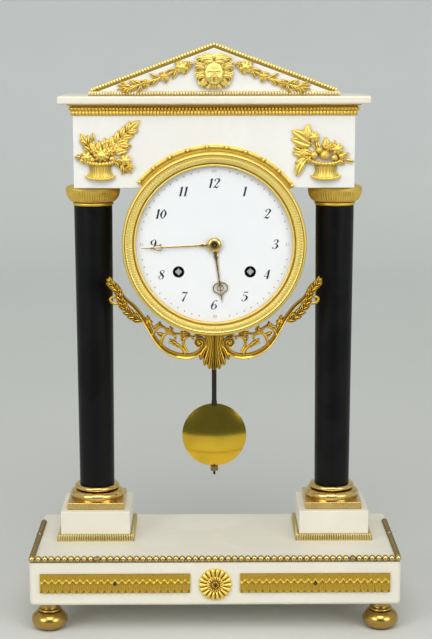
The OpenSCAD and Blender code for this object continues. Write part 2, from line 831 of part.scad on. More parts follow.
module bead_and_reel() {
    arc = [37, 140];
    reel = 2;
    bead = 2.4;
    pairs = 9;
    step = (arc[1] - arc[0]) / pairs;
    section = [[-reel, -1], [reel, -1], [reel, 0.3 * reel], [0.65 * reel, reel], [-0.65 * reel, reel],
               [-reel, 0.3 * reel]];
    color(gilt_c) dial_frame() difference() {
        union() {
            rotate(arc[0]) rotate_extrude(angle = arc[1] - arc[0]) translate([reel_r, 0]) polygon(section);
            for (i = [0 : pairs]) rotate(arc[0] + i * step) translate([reel_r, 0, 0.6]) sphere(bead);
        }
        translate([-100, -20, -10]) cube([200, 140, 10]);
    }
}

// Openwork scroll mount under the drum: palmette, two S-shaped arms and their foliage

scroll_low = [22.5, -93.5];
scroll_bowl_r = 25.5;
scroll_bowl_end = -28.1;
scroll_sweep_r = 191;

module scroll_arm() {
    wide = 2.6;
    bowl = scroll_low + [0, scroll_bowl_r];
    join = bowl + scroll_bowl_r * [cos(scroll_bowl_end), sin(scroll_bowl_end)];
    sweep = join + scroll_sweep_r * [cos(scroll_bowl_end), sin(scroll_bowl_end)];
    tip_turn = acos((sweep[0] - scroll_reach) / scroll_sweep_r);
    tip_leaf = 10.5;
    bar_end = 180 - tip_turn + (tip_leaf - 1.5) / scroll_sweep_r * 180 / PI;
    leaf_at = bar_end + 1.5 / scroll_sweep_r * 180 / PI;
    inner_r = 13;
    eye_r = 4.2;
    translate([bowl[0], bowl[1], 0]) bent_bar(scroll_bowl_r, wide, scroll_t, -90, scroll_bowl_end);
    translate([sweep[0], sweep[1], 0])
        bent_bar(scroll_sweep_r, wide, scroll_t, bar_end, 180 + scroll_bowl_end);
    // collar over the joint of the two sweeps
    translate([join[0], join[1], 0]) disc(wide * 0.8, 0, scroll_t * 1.15);
    translate([scroll_low[0], scroll_low[1] + inner_r, 0]) bent_bar(inner_r, wide, scroll_t, 180, 270);
    translate([scroll_low[0] - inner_r + eye_r, scroll_low[1] + inner_r, 0]) {
        bent_bar(eye_r, wide, scroll_t, -95, 180);
        disc(1.6, 0, scroll_t * 1.2);
        translate([0, -0.8, 0]) cube([eye_r, 1.6, scroll_t]);
    }
    // leaves between the arm and the bezel
    for (k = [[-78, 118], [-58, 104], [-40, 92]])
        translate([bowl[0] + scroll_bowl_r * cos(k[0]), bowl[1] + scroll_bowl_r * sin(k[0]), 0])
            rotate(k[1]) leaf(13, 4.6, scroll_t * 0.8);
    // tendril that runs up inside the arm
    translate([bowl[0] + 4, bowl[1] - 10, 0]) bent_bar(9.5, 1.8, scroll_t * 0.9, -120, 40);
    // leaves up the outer arm, by turns on one side and the other
    for (t = [0 : 8]) {
        side = t % 2 == 0 ? 1 : -1;
        a = 180 + scroll_bowl_end - 3 - t * 1.6;
        translate([sweep[0] + scroll_sweep_r * cos(a), sweep[1] + scroll_sweep_r * sin(a), 0])
            rotate(a - 90 + side * 38) leaf(11 - t * 0.3, 4.2, scroll_t * 0.8);
    }
    translate([sweep[0] + scroll_sweep_r * cos(leaf_at), sweep[1] + scroll_sweep_r * sin(leaf_at), 0])
        rotate(leaf_at - 90) leaf(tip_leaf, 4.6, scroll_t * 0.8);
}

// Fan of lobes, each with a raised rib, spread from a root behind the bezel
module palmette() {
    lobes = 7;
    spread = 76;
    root = -70;
    reach = 32.5;
    step = spread / lobes;
    edge = [for (i = [0 : lobes * 6])
        let (a = -90 - spread / 2 + i * step / 6, dip = abs(sin((i / 6) * 180)))
        (reach - 3.2 * (1 - dip) - 0.06 * abs(a + 90)) * [cos(a), sin(a)]];
    translate([0, root, 0]) {
        linear_extrude(scroll_t) polygon(concat([[-3, -6]], edge, [[3, -6]]));
        for (i = [0 : lobes - 1])
            rotate(-90 - spread / 2 + (i + 0.5) * step) translate([9, 0, scroll_t])
                rotate([0, 90, 0]) cylinder(r1 = 0.5, r2 = 1.4, h = reach - 13);
    }
}

module scroll_mount() {
    // the mount stands behind the bezel, a little way in front of the columns
    back = -7.4;
    lug_half = 3.5;
    lug_t = 6;
    color(gilt_c) dial_frame() {
        translate([0, 0, back]) {
            pair() scroll_arm();
            palmette();
            // lug that is screwed up against the drum
            translate([-lug_half, -drum_r - run - 12, -lug_t]) cube([2 * lug_half, 12, lug_t + scroll_t]);
            pair() translate([6, -82.2, 0]) cube([5, 3.2, scroll_t * 1.1]);
        }
    }
}

// Drum, dial and their rings

slot_half = 13;
slot_len = 18;

module drum() {
    color(brass_c) dial_frame() difference() {
        tube(drum_r, drum_r - drum_wall, -drum_len, 0);
        translate([-slot_half, -drum_r - 5, pend_d - slot_len / 2]) cube([2 * slot_half, 20, slot_len]);
    }
}

module dial_surround() {
    color(brass_c) dial_frame() {
        difference() {
            tube(surround_r, surround_in_r, 0, ring_t);
            // room for three knuckles
            translate([hinge_x - hinge_r - run, -1.5 * knuckle_h - 1, -1])
                cube([10, 3 * knuckle_h + 2, 5]);
        }
        // two knuckles that carry the bezel
        for (s = [-1, 1]) translate([0, s * (knuckle_h + knuckle_gap), 0]) difference() {
            union() {
                hinge_knuckle(hinge_x, hinge_d);
                translate([surround_r - 4, -knuckle_h / 2, 0])
                    cube([hinge_x - surround_r + 4, knuckle_h, ring_t - 0.2]);
            }
            hinge_hole(hinge_x, hinge_d);
        }
        // straps that hold the rings together through the drum
        for (s = [-1, 1])
            translate([s * (strap_r0 + strap_t / 2) - strap_t / 2, -strap_w / 2, -drum_len])
                cube([strap_t, strap_w, drum_len]);
    }
}

module dial() {
    color(enamel_c) dial_frame() difference() {
        disc(dial_r, dial_d0, dial_d1);
        disc(hour_pipe_r + 0.8, 0, 10);
        for (p = [p_going, p_strike]) translate([p[0], p[1], 0]) disc(wind_hole_dia / 2, 0, 10);
    }
}

module rear_ring() {
    color(brass_c) dial_frame() {
        tube(surround_r, surround_in_r + 6, rear_d0, -drum_len);
        for (s = [-1, 1]) translate([0, s * (knuckle_h + knuckle_gap), 0]) difference() {
            union() {
                hinge_knuckle(rear_hinge_x, door_hinge_d);
                translate([surround_r - 2, -knuckle_h / 2, door_hinge_d])
                    cube([rear_hinge_x - surround_r + 2 + hinge_r, knuckle_h,
                          -drum_len - door_hinge_d - 0.5]);
            }
            hinge_hole(rear_hinge_x, door_hinge_d);
            translate([surround_r - 6, -knuckle_h, rear_d0 - 20])
                cube([rear_hinge_x - surround_r + 6 - hinge_r - run, 2 * knuckle_h, 20]);
        }
    }
}

module hinge_pins() {
    reach = 1.5 * knuckle_h + knuckle_gap + 0.6;
    color(brass_c) dial_frame() for (p = [[hinge_x, hinge_d], [rear_hinge_x, door_hinge_d]])
        translate([p[0], reach, p[1]]) rotate([90, 0, 0]) cylinder(r = hinge_pin_r, h = 2 * reach);
}

module hinge_knuckle(x, d) {
    translate([x, knuckle_h / 2, d]) rotate([90, 0, 0]) cylinder(r = hinge_r, h = knuckle_h);
}

module hinge_hole(x, d) {
    translate([x, knuckle_h, d]) rotate([90, 0, 0]) cylinder(r = hinge_pin_r + play, h = 2 * knuckle_h);
}

module bezel() {
    // section: dial recess, outer edge, engine-turned band, inner bead, glass seat
    recess = dial_r + 0.8;
    lug = 2.4;
    h = bezel_h;
    section = [[recess, 0], [bezel_r, 0], [bezel_r, 0.45 * h], [bezel_r - 0.8, 0.6 * h],
               [bezel_r - 1.8, 0.65 * h], [bezel_r - 2.4, 0.92 * h], [bezel_r - 4.4, h],
               [bezel_r - 6.4, 0.96 * h], [bezel_in_r + 1.7, 0.8 * h], [bezel_in_r, 0.66 * h],
               [bezel_in_r, 0.4 * h], [recess, 0.34 * h]];
    color(gilt_c) dial_frame() difference() {
        union() {
            translate([0, 0, bezel_d0]) rotate_extrude() polygon(section);
            hinge_knuckle(hinge_x, hinge_d);
            translate([hinge_x - lug / 2, -knuckle_h / 2, hinge_d])
                cube([lug, knuckle_h, bezel_d0 + 1 - hinge_d]);
        }
        hinge_hole(hinge_x, hinge_d);
    }
}

module bezel_glass() {
    rim = bezel_in_r - seat;
    z0 = bezel_d0 + bezel_h * 0.5;
    ball = (rim * rim + glass_rise * glass_rise) / (2 * glass_rise);
    half = asin(rim / ball);
    outer = [for (i = [0 : 8]) ball * [sin(half * (1 - i / 8)), cos(half * (1 - i / 8)) - cos(half)]];
    color(glass_c) dial_frame() translate([0, 0, z0]) rotate_extrude() polygon(concat(
        [for (p = outer) p + [0, glass_t]], [for (i = [8 : -1 : 0]) outer[i]]));
}

module back_door() {
    sound_r = 2.5;
    z1 = rear_d0 - door_gap;
    color(brass_c) dial_frame() difference() {
        union() {
            disc(door_r, z1 - door_t, z1);
            hinge_knuckle(rear_hinge_x, door_hinge_d);
            translate([door_r - 3, -knuckle_h / 2, z1 - door_t])
                cube([rear_hinge_x - door_r + 3, knuckle_h, door_t]);
        }
        hinge_hole(rear_hinge_x, door_hinge_d);
        // sound holes
        for (a = [0 : 45 : 315]) rotate(a) translate([door_r * 0.5, 0, 0])
            disc(sound_r, z1 - door_t - 1, z1 + 1);
    }
}

// Movement plates

module pivot_holes() {
    for (p = arbors) translate([p[0], p[1], 0]) disc(pivot_r + play, back_d1 - 1, plate_d0 + 1);
    for (p = [p_going, p_strike]) translate([p[0], p[1], 0])
        disc(wind_pivot_r + play, back_d1 - 1, plate_d0 + 1);
    for (a = pillar_dirs) rotate(a) translate([pillar_pcr, 0, 0])
        disc(spigot_r + play, back_d1 - 1, plate_d0 + 1);
}

module front_plate() {
    color(brass_c) dial_frame() {
        difference() {
            disc(plate_r, plate_d1, plate_d0);
            pivot_holes();
            disc(centre_r + 0.3 + play, plate_d1 - 1, plate_d0 + 1);
            translate([p_anchor[0], p_anchor[1], 0]) disc(pivot_r + play, plate_d1 - 1, plate_d0 + 1);
        }
        // posts that carry the dial surround
        for (a = post_dirs) rotate(a) translate([post_pcr, 0, 0]) disc(foot_post_r, plate_d0 - eps, 0);
        // stud of the minute wheel
        translate([p_minute[0], p_minute[1], 0]) disc(post_r, plate_d0 - eps, -0.7);
    }
}

module back_plate() {
    color(brass_c) dial_frame() difference() {
        disc(plate_r, back_d1, back_d0);
        pivot_holes();
        translate([p_anchor[0], p_anchor[1], 0]) disc(arbor_r + 0.6, back_d1 - 1, back_d0 + 1);
        translate([p_hammer[0], p_hammer[1], 0]) disc(pivot_r + play, back_d1 - 1, back_d0 + 1);
    }
}

module plate_pillars() {
    color(brass_c) dial_frame() for (a = pillar_dirs) rotate(a) translate([pillar_pcr, 0, 0]) {
        disc(pillar_dia / 2, back_d0, plate_d1);
        disc(spigot_r, back_d1 - 1, plate_d0 + 1);
        bead_ring(pillar_dia / 2 + 0.8, 1.2, (back_d0 + plate_d1) / 2);
    }
}

// Bell and its stand

module bell() {
    r = bell_dia / 2;
    outline = [for (a = [0 : 15 : 90]) [r * cos(a), bell_depth * sin(a)]];
    inner = [for (a = [90 : -15 : 0]) [(r - bell_wall) * cos(a), (bell_depth - bell_wall) * sin(a)]];
    color(brass_c) dial_frame() translate([p_bell[0], p_bell[1], bell_d0]) mirror([0, 0, 1]) difference() {
        rotate_extrude() polygon(concat(outline, inner));
        disc(1.5 + slip / 2, 0, bell_depth + 1);
    }
}

module bell_stand() {
    color(steel_c) dial_frame() translate([p_bell[0], p_bell[1], 0]) {
        disc(4, back_d1 - 1.5, back_d1);
        disc(2.2, bell_d0 - bell_depth + bell_wall + run, back_d1);
        disc(1.5, bell_d0 - bell_depth - 2.4, bell_d0);
        translate([0, 0, bell_d0 - bell_depth - 2]) cylinder(r = 2.8, h = 2, $fn = 6);
    }
}

// Pendulum cock behind the back plate, with the pin that the pendulum hangs on

module pendulum_cock() {
    bar_d0 = back_d1 - cock_leg;
    color(brass_c) dial_frame() translate([p_anchor[0], p_anchor[1], 0]) {
        difference() {
            translate([-cock_half, -3.5, bar_d0 - cock_t]) cube([2 * cock_half, 7, cock_t]);
            disc(pivot_r + play, bar_d0 - 1.4, bar_d0 + 1);
        }
        for (s = [-1, 1]) translate([s * (cock_half - 2.5) - 2.5, -3.5, bar_d0 - eps])
            cube([5, 7, cock_leg + eps]);
        disc(cock_pin_r, pend_d - pend_rod_t / 2 - 1.2, bar_d0 - cock_t + eps);
        disc(cock_pin_r + 0.8, pend_d - pend_rod_t / 2 - 1.2, pend_d - pend_rod_t / 2 - 0.4);
    }
}

// Barrels and winding arbors

module barrel(p) {
    translate([p[0], p[1], 0]) difference() {
        union() {
            toothed(great_n, m_great, behind(great_lv[1]), behind(great_lv[0]));
            disc(barrel_r, behind(barrel_lv[1]), behind(barrel_lv[0]));
        }
        disc(wind_r + play, -200, 0);
    }
}

module going_barrel() {
    color(brass_c) dial_frame() barrel(p_going);
}

module strike_barrel() {
    color(brass_c) dial_frame() barrel(p_strike);
}

function ratchet_points() = [for (i = [0 : ratchet_n - 1], k = [[0, 0], [0.85, ratchet_depth]])
    (ratchet_r - k[1]) * [cos(360 / ratchet_n * (i + k[0])), sin(360 / ratchet_n * (i + k[0]))]];

module winding_arbor(p) {
    translate([p[0], p[1], 0]) {
        disc(wind_r, behind(plate_gap - shoulder), behind(shoulder));
        disc(wind_pivot_r, back_d1 + 0.2, ratchet_d + ratchet_t);
        translate([0, 0, ratchet_d]) linear_extrude(ratchet_t) polygon(ratchet_points());
        rotate(45) slab(wind_square, wind_square, ratchet_d, dial_d1 - 0.6);
    }
}

module going_arbor() {
    color(steel_c) dial_frame() winding_arbor(p_going);
}

module strike_arbor() {
    color(steel_c) dial_frame() winding_arbor(p_strike);
}

// Clicks of the winding ratchets, on the front plate
module clicks() {
    arm = 9;
    nose_r = 2;
    color(steel_c) dial_frame() for (p = [p_going, p_strike])
        translate([p[0], p[1], 0]) rotate(90) translate([ratchet_r + run + nose_r, 0, 0]) {
            disc(nose_r, plate_d0, ratchet_d + ratchet_t);
            translate([-1, -arm, ratchet_d]) cube([2, arm, ratchet_t]);
            translate([0, -arm, 0]) disc(1.4, plate_d0, ratchet_d + ratchet_t + 0.6);
        }
}

// Wheels

module second_wheel() {
    color(brass_c) dial_frame()
        train_wheel(p_second, turn_second, second_n, m_second, second_lv, leaf_low, m_great, low_lv);
}

module centre_wheel() {
    color(brass_c) dial_frame() {
        train_wheel(p_centre, turn_centre, centre_n, m_centre, centre_lv, leaf_low, m_second, centre_leaf_lv);
        // long arbor through the front plate that carries the hands
        disc(centre_r + 0.3, behind(3), plate_d0 + 0.2);
        disc(centre_r, plate_d0, dial_d1 + 6);
    }
}

module third_wheel() {
    color(brass_c) dial_frame()
        train_wheel(p_third, turn_third, third_n, m_third, third_lv, leaf_high, m_centre, third_leaf_lv);
}

module escape_wheel() {
    root = 0.78;
    tip_r = 9.8;
    wheel_t = escape_lv[1] - escape_lv[0];
    teeth = [for (i = [0 : escape_n - 1], k = [[-0.18, root], [0.3, 1], [0.42, root]])
        tip_r * k[1] * [cos(360 / escape_n * (i + k[0])), sin(360 / escape_n * (i + k[0]))]];
    color(brass_c) dial_frame() translate([p_escape[0], p_escape[1], 0]) rotate(turn_escape) {
        difference() {
            translate([0, 0, behind(escape_lv[1])]) linear_extrude(wheel_t) polygon(teeth);
            disc(tip_r * root - 1.6, behind(escape_lv[1]) - 1, behind(escape_lv[0]) + 1);
        }
        disc(2.2, behind(escape_lv[1]), behind(escape_lv[0]));
        for (a = [0, 90, 180, 270]) rotate(a)
            translate([1, -0.7, behind(escape_lv[1])]) cube([tip_r * root - 2.2, 1.4, wheel_t]);
        pinion(leaf_high, m_third, behind(escape_leaf_lv[1]), behind(escape_leaf_lv[0]));
        arbor(arbor_r);
    }
}

// Anchor on its arbor, and the crutch behind the back plate that drives the pendulum
module anchor() {
    reach = 11.9;
    pallet_dir = 62;
    z0 = behind(escape_lv[1]) - 0.4;
    z1 = behind(escape_lv[0]) + 0.4;
    crutch_d = back_d1 - 1.6;
    fork_half = pend_rod_w / 2 + run;
    color(steel_c) dial_frame() translate([p_anchor[0], p_anchor[1], 0]) {
        disc(arbor_r, back_d1 - cock_leg + 0.3, behind(shoulder));
        disc(pivot_r, back_d1 - cock_leg - 1.1, plate_d0 - 0.2);
        disc(2.2, z0, z1);
        for (s = [-1, 1]) {
            rotate(270 + s * pallet_dir) {
                translate([0, -0.9, z0]) cube([reach, 1.8, z1 - z0]);
                translate([reach - 1.2, -s * 0.5 - 1.4, z0]) cube([1.8, 2.8, z1 - z0]);
            }
        }
        disc(2, crutch_d - crutch_t, crutch_d);
        translate([-1.2, -crutch_len, crutch_d - crutch_t]) cube([2.4, crutch_len, crutch_t]);
        translate([-fork_half - 1, -crutch_len - 2, crutch_d - crutch_t])
            cube([2 * fork_half + 2, 3, crutch_t]);
        for (s = [-1, 1])
            translate([s * (fork_half + 0.5) - 0.5, -crutch_len - 2, pend_d - pend_rod_t])
                cube([1, 3, crutch_d - pend_d + pend_rod_t]);
    }
}

// Motion work and hands

minute_leaf_lv = [-5.8, -3.8];
hour_lv = [-2.8, -1.3];
hour_hand_lv = [dial_d1 + 0.9, dial_d1 + 1.7];
minute_hand_lv = [dial_d1 + 2.0, dial_d1 + 2.8];

module cannon_pinion() {
    color(brass_c) dial_frame() difference() {
        union() {
            pinion(cannon_n, m_minute, minute_leaf_lv[0], minute_leaf_lv[1]);
            disc(cannon_r, plate_d0 + 0.6, minute_hand_lv[1]);
        }
        disc(centre_r + play, -20, 40);
    }
}

module minute_wheel() {
    color(brass_c) dial_frame() translate([p_minute[0], p_minute[1], 0]) difference() {
        rotate(turn_minute) {
            toothed(minute_n, m_minute, minute_leaf_lv[0], minute_leaf_lv[0] + 1.4);
            pinion(leaf_low, m_hour, minute_leaf_lv[0], hour_lv[1]);
        }
        disc(post_r + play, -20, 20);
    }
}

module hour_wheel() {
    color(brass_c) dial_frame() difference() {
        union() {
            rotate(turn_hour) toothed(hour_n, m_hour, hour_lv[0], hour_lv[1]);
            disc(hour_pipe_r, hour_lv[0], hour_hand_lv[1]);
        }
        disc(cannon_r + play, -20, 40);
    }
}

// A hand: a slim blade, an open heart-shaped motif near its end and a fine point
module hand(len, motif_at, motif_r, hub_r, hole_r, lv) {
    t = lv[1] - lv[0];
    neck_x = motif_at - motif_r * 0.6;
    translate([0, 0, lv[0]]) difference() {
        union() {
            cylinder(r = hub_r, h = t);
            linear_extrude(t) polygon([[hub_r - 1, -1.7], [hub_r + 5, -1.0], [hub_r + 6, -0.7],
                                       [neck_x, -0.6], [neck_x, 0.6],
                                       [hub_r + 6, 0.7], [hub_r + 5, 1.0], [hub_r - 1, 1.7]]);
            for (s = [-1, 1]) translate([motif_at, s * motif_r * 0.55, 0]) cylinder(r = motif_r, h = t);
            linear_extrude(t) polygon([[motif_at + motif_r * 0.6, -motif_r * 0.9], [len, 0],
                                       [motif_at + motif_r * 0.6, motif_r * 0.9]]);
        }
        translate([0, 0, -1]) cylinder(r = hole_r, h = t + 2);
        for (s = [-1, 1]) translate([motif_at, s * motif_r * 0.62, -1])
            cylinder(r = motif_r * 0.5, h = t + 2);
    }
}

module minute_hand() {
    color(gilt_c) dial_frame() rotate(minute_at)
        hand(minute_len, minute_len - 13.5, 1.9, 4.6, cannon_r + 0.02, minute_hand_lv);
}

module hour_hand() {
    color(gilt_c) dial_frame() rotate(hour_at)
        hand(hour_len, hour_len - 10, 2.6, 4.6, hour_pipe_r + 0.02, hour_hand_lv);
}

module hand_collet() {
    z = minute_hand_lv[1];
    color(gilt_c) dial_frame() difference() {
        union() {
            disc(3.8, z, z + 0.8);
            translate([0, 0, z + 0.8]) cylinder(r1 = 3.8, r2 = 2, h = 1.6);
        }
        disc(centre_r + play, z - 1, z + 5);
    }
}

// Striking train

module pin_wheel() {
    pins = 8;
    color(brass_c) dial_frame() {
        train_wheel(p_pin, turn_pin, pin_n, m_pin, second_lv, leaf_low, m_great, low_lv);
        translate([p_pin[0], p_pin[1], 0]) for (a = [0 : pins - 1])
            rotate(a * 360 / pins) translate([pin_n * m_pin / 2 - 1.7, 0, 0])
                disc(0.5, behind(second_lv[1] + 2), behind(second_lv[1]) + eps);
    }
}

module locking_wheel() {
    color(brass_c) dial_frame()
        train_wheel(p_lock, turn_lock, lock_n, m_lock, lock_lv, leaf_high, m_pin, centre_leaf_lv);
}

module fly() {
    half = 8;
    color(brass_c) dial_frame() translate([p_fly[0], p_fly[1], 0]) rotate(turn_fly) {
        pinion(leaf_high, m_lock, behind(fly_leaf_lv[1]), behind(fly_leaf_lv[0]));
        arbor(arbor_r);
        translate([-half, -0.4, behind(fly_lv[1])]) cube([2 * half, 0.8, fly_lv[1] - fly_lv[0]]);
    }
}

module hammer() {
    arm_d = back_d1 - 1.2;
    arm_t = 1.4;
    v = p_head - p_hammer;
    color(steel_c) dial_frame() translate([p_hammer[0], p_hammer[1], 0]) {
        disc(2, arm_d - arm_t, arm_d);
        disc(pivot_r, arm_d - arm_t, back_d0 + 0.2);
        rotate(atan2(v[1], v[0])) translate([0, -1, arm_d - arm_t]) cube([norm(v), 2, arm_t]);
        translate([v[0], v[1], 0]) {
            disc(1.4, bell_d0 - 6, arm_d);
            disc(hammer_r, bell_d0 - 6, bell_d0 + 0.5);
        }
    }
}

// Pendulum

module pendulum_rod() {
    top = p_anchor[1];
    low = bob_z - dial_z + bob_dia / 2 + run;
    tip = bob_z - dial_z - bob_dia / 2 - rating_h - thread_tip;
    color(iron_c) dial_frame() {
        difference() {
            union() {
                translate([0, top, 0]) disc(3, pend_d - pend_rod_t / 2, pend_d + pend_rod_t / 2);
                translate([-pend_rod_w / 2, low, pend_d - pend_rod_t / 2])
                    cube([pend_rod_w, top - low, pend_rod_t]);
            }
            translate([0, top, 0]) disc(cock_pin_r + play, pend_d - 5, pend_d + 5);
        }
        translate([0, tip, pend_d]) rotate([-90, 0, 0]) cylinder(r = thread_r, h = low - tip + 1);
    }
}

module pendulum_bob() {
    edge = 1.8;
    ball = (bob_dia * bob_dia / 4 + pow((bob_t - edge) / 2, 2)) / (bob_t - edge);
    half = asin(bob_dia / 2 / ball);
    face = [for (i = [0 : 6]) [ball * sin(half * i / 6), edge / 2 + ball * (cos(half * i / 6) - cos(half))]];
    color(brass_c) dial_frame() translate([0, bob_z - dial_z, pend_d]) difference() {
        rotate_extrude() polygon(concat(face, [for (i = [6 : -1 : 0]) [face[i][0], -face[i][1]]]));
        translate([0, bob_dia, 0]) rotate([90, 0, 0]) cylinder(r = thread_r + slip / 2, h = 2 * bob_dia);
    }
}

module rating_nut() {
    z1 = bob_z - bob_dia / 2;
    color(brass_c) translate([0, ent_front - pend_d, z1 - rating_h]) difference() {
        cylinder(d = nut_dia, h = rating_h);
        translate([0, 0, -1]) cylinder(r = thread_r + play, h = rating_h + 2);
    }
}

base_plinth();
feet();
base_beads();
frieze_panels();
base_rosette();
pedestals();
pedestal_mouldings();
column_bases();
columns();
capitals();
tie_rods();
entablature();
entablature_frieze();
cornice();
pediment();
pediment_beads();
pediment_moulding();
mask();
garlands();
flower_basket_left();
flower_basket_right();
bead_and_reel();
scroll_mount();
drum();
dial_surround();
dial();
rear_ring();
front_plate();
back_plate();
plate_pillars();
bell();
bell_stand();
pendulum_cock();
hinge_pins();
bezel();
bezel_glass();
back_door();
going_barrel();
strike_barrel();
going_arbor();
strike_arbor();
clicks();
second_wheel();
centre_wheel();
third_wheel();
escape_wheel();
anchor();
cannon_pinion();
minute_hand();
hand_collet();
minute_wheel();
hour_wheel();
hour_hand();
pin_wheel();
locking_wheel();
fly();
hammer();
pendulum_rod();
pendulum_bob();
rating_nut();
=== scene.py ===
"""Looks of the portico clock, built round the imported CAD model. Lengths here are millimetres."""

import bpy
from mathutils import Matrix, Vector
from numpy import (arange, arcsin, arctan2, array, broadcast_to, clip, concatenate, cos, cross, cumsum, degrees,
    exp, gradient, hypot, insert, isin, linspace, maximum, meshgrid, minimum, pad, pi, radians, sin, sqrt, stack,
    vstack, where)
from numpy.linalg import norm

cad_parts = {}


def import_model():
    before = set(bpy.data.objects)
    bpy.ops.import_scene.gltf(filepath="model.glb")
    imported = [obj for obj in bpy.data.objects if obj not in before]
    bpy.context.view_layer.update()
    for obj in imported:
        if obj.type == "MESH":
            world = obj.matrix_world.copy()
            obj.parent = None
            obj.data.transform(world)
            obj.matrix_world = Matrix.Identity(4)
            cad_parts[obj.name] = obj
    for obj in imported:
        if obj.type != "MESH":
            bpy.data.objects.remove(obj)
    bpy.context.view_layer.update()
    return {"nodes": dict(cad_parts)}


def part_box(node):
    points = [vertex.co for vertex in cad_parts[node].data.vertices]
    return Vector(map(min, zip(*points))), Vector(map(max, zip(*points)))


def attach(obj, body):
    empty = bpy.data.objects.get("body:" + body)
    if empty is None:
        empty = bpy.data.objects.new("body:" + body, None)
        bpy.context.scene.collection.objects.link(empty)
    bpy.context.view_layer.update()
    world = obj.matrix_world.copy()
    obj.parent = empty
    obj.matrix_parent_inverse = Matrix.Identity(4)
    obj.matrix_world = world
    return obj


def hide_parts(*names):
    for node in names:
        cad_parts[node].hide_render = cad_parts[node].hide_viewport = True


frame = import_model()
MM = 0.001


def span(node):
    """Lowest and highest corner of a CAD node, in millimetres."""
    low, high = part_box(node)
    return array(low) / MM, array(high) / MM


# Places taken from the frame

base_low, base_high = span("base_plinth")
ent_low, ent_high = span("entablature")
pedi_low, pedi_high = span("pediment")
dial_low, dial_high = span("dial")
drum_low, drum_high = span("drum")
column_low, column_high = span("columns")
ped_low, ped_high = span("pedestals")

dial_z = (dial_low[2] + dial_high[2]) / 2
ent_front = ent_low[1]
dial_front = ent_front - dial_low[1]
column_y = (column_low[1] + column_high[1]) / 2
ped_w = ped_high[1] - ped_low[1]
column_x = ped_high[0] - ped_w / 2


# Mesh kit: a mesh is (points, faces)

def grid(points, closed=False):
    """Skin over a (rows, columns, 3) array of points."""
    rows, cols = points.shape[:2]
    i = arange(rows - 1)[:, None] * cols
    j = arange(cols if closed else cols - 1)[None, :]
    k = (j + 1) % cols
    quads = stack([i + j, i + k, i + cols + k, i + cols + j], -1).reshape(-1, 4)
    return points.reshape(-1, 3), quads.tolist()


def join(meshes):
    points, faces, start = [], [], 0
    for p, f in meshes:
        points.append(p)
        faces += [[v + start for v in face] for face in f]
        start += len(p)
    return concatenate(points), faces


def moved(mesh, matrix):
    m = array(matrix)
    return mesh[0] @ m[:3, :3].T + m[:3, 3], mesh[1]


def mirrored(mesh, axis=0):
    """Mirror image across the plane x = 0, or y = 0 for axis 1."""
    flip = [-1 if i == axis else 1 for i in range(3)]
    return mesh[0] * array(flip), [face[::-1] for face in mesh[1]]


def both_sides(meshes):
    return meshes + [mirrored(m) for m in meshes]


def shift(x, y, z=0):
    return Matrix.Translation((x, y, z))


def turn(angle):
    return Matrix.Rotation(radians(angle), 4, "Z")


def front(x, y, z):
    """Frame of an ornament on an upright ground: local x right, y up, z towards the viewer."""
    return Matrix(((1, 0, 0, x), (0, 0, -1, y), (0, 1, 0, z), (0, 0, 0, 1)))


DIAL = front(0, ent_front, dial_z)


def smoothstep(low, high, x):
    t = clip((x - low) / (high - low), 0, 1)
    return t * t * (3 - 2 * t)


def arc(cx, cy, r, a0, a1, steps=10):
    """Points of an arc, with angles in degrees."""
    a = radians(linspace(a0, a1, steps + 1))
    return stack([cx + r * cos(a), cy + r * sin(a)], -1)


def polar(r, angle):
    return r * cos(radians(angle)), r * sin(radians(angle))


def curve(points, steps=10):
    """Smooth curve through points of any dimension."""
    p = array(points, float)
    p = vstack([2 * p[0] - p[1], p, 2 * p[-1] - p[-2]])
    t = linspace(0, 1, steps, endpoint=False)[:, None]
    runs = []
    for a, b, c, d in zip(p, p[1:], p[2:], p[3:]):
        runs.append(0.5 * (2 * b + (c - a) * t + (2 * a - 5 * b + 4 * c - d) * t ** 2
                           + (3 * b - a - 3 * c + d) * t ** 3))
    return vstack(runs + [p[-2:-1]])


def unit(vectors):
    return vectors / norm(vectors, axis=1)[:, None]


def leftward(path):
    """Unit vectors to the left of a flat path."""
    along = unit(gradient(path, axis=0))
    return stack([-along[:, 1], along[:, 0]], -1)


def headings(path):
    """Directions of a flat path, in degrees."""
    return degrees(arctan2(*gradient(path, axis=0).T[::-1]))


def turn_angles(count):
    return linspace(0, 2 * pi, count, endpoint=False)


def lathe(profile, segments=64, ripple=None):
    """Turned form about local +Z. Profile is (radius, height) pairs; ripple(row, angle) adds to both."""
    profile = array(profile, float)
    angle = turn_angles(segments)[None, :]
    r, z = profile[:, :1] + 0 * angle, profile[:, 1:] + 0 * angle
    if ripple:
        dr, dz = ripple(arange(len(profile))[:, None], angle)
        r, z = r + dr, z + dz
    return grid(stack([r * cos(angle), r * sin(angle), z], -1), closed=True)


def ball(r, centre=(0, 0, 0), squash=1, segments=14):
    a = radians(linspace(-90, 90, segments // 2 + 1))
    skin = lathe(stack([r * cos(a), squash * r * sin(a)], -1), segments)
    return skin[0] + array(centre, float), skin[1]


def bar(points):
    """Skin round rows of points, with each end closed to its middle."""
    ends = points[[0, -1]].mean(1, keepdims=True).repeat(points.shape[1], 1)
    return grid(concatenate([ends[:1], points, ends[1:]]), closed=True)


def tube(path, radius, sides, flat=1):
    """Stem along a path of (x, y, z) points, with one radius or one per point. Flat is its height over its width."""
    path = array(path, float)
    radius = broadcast_to(radius, len(path))[:, None, None]
    along = unit(gradient(path, axis=0))
    side = unit(cross(along, [0, 0, 1]))
    up = cross(side, along)
    a = turn_angles(sides)[None, :, None]
    ring = cos(a) * side[:, None] + flat * sin(a) * up[:, None]
    return bar(path[:, None] + radius * ring)


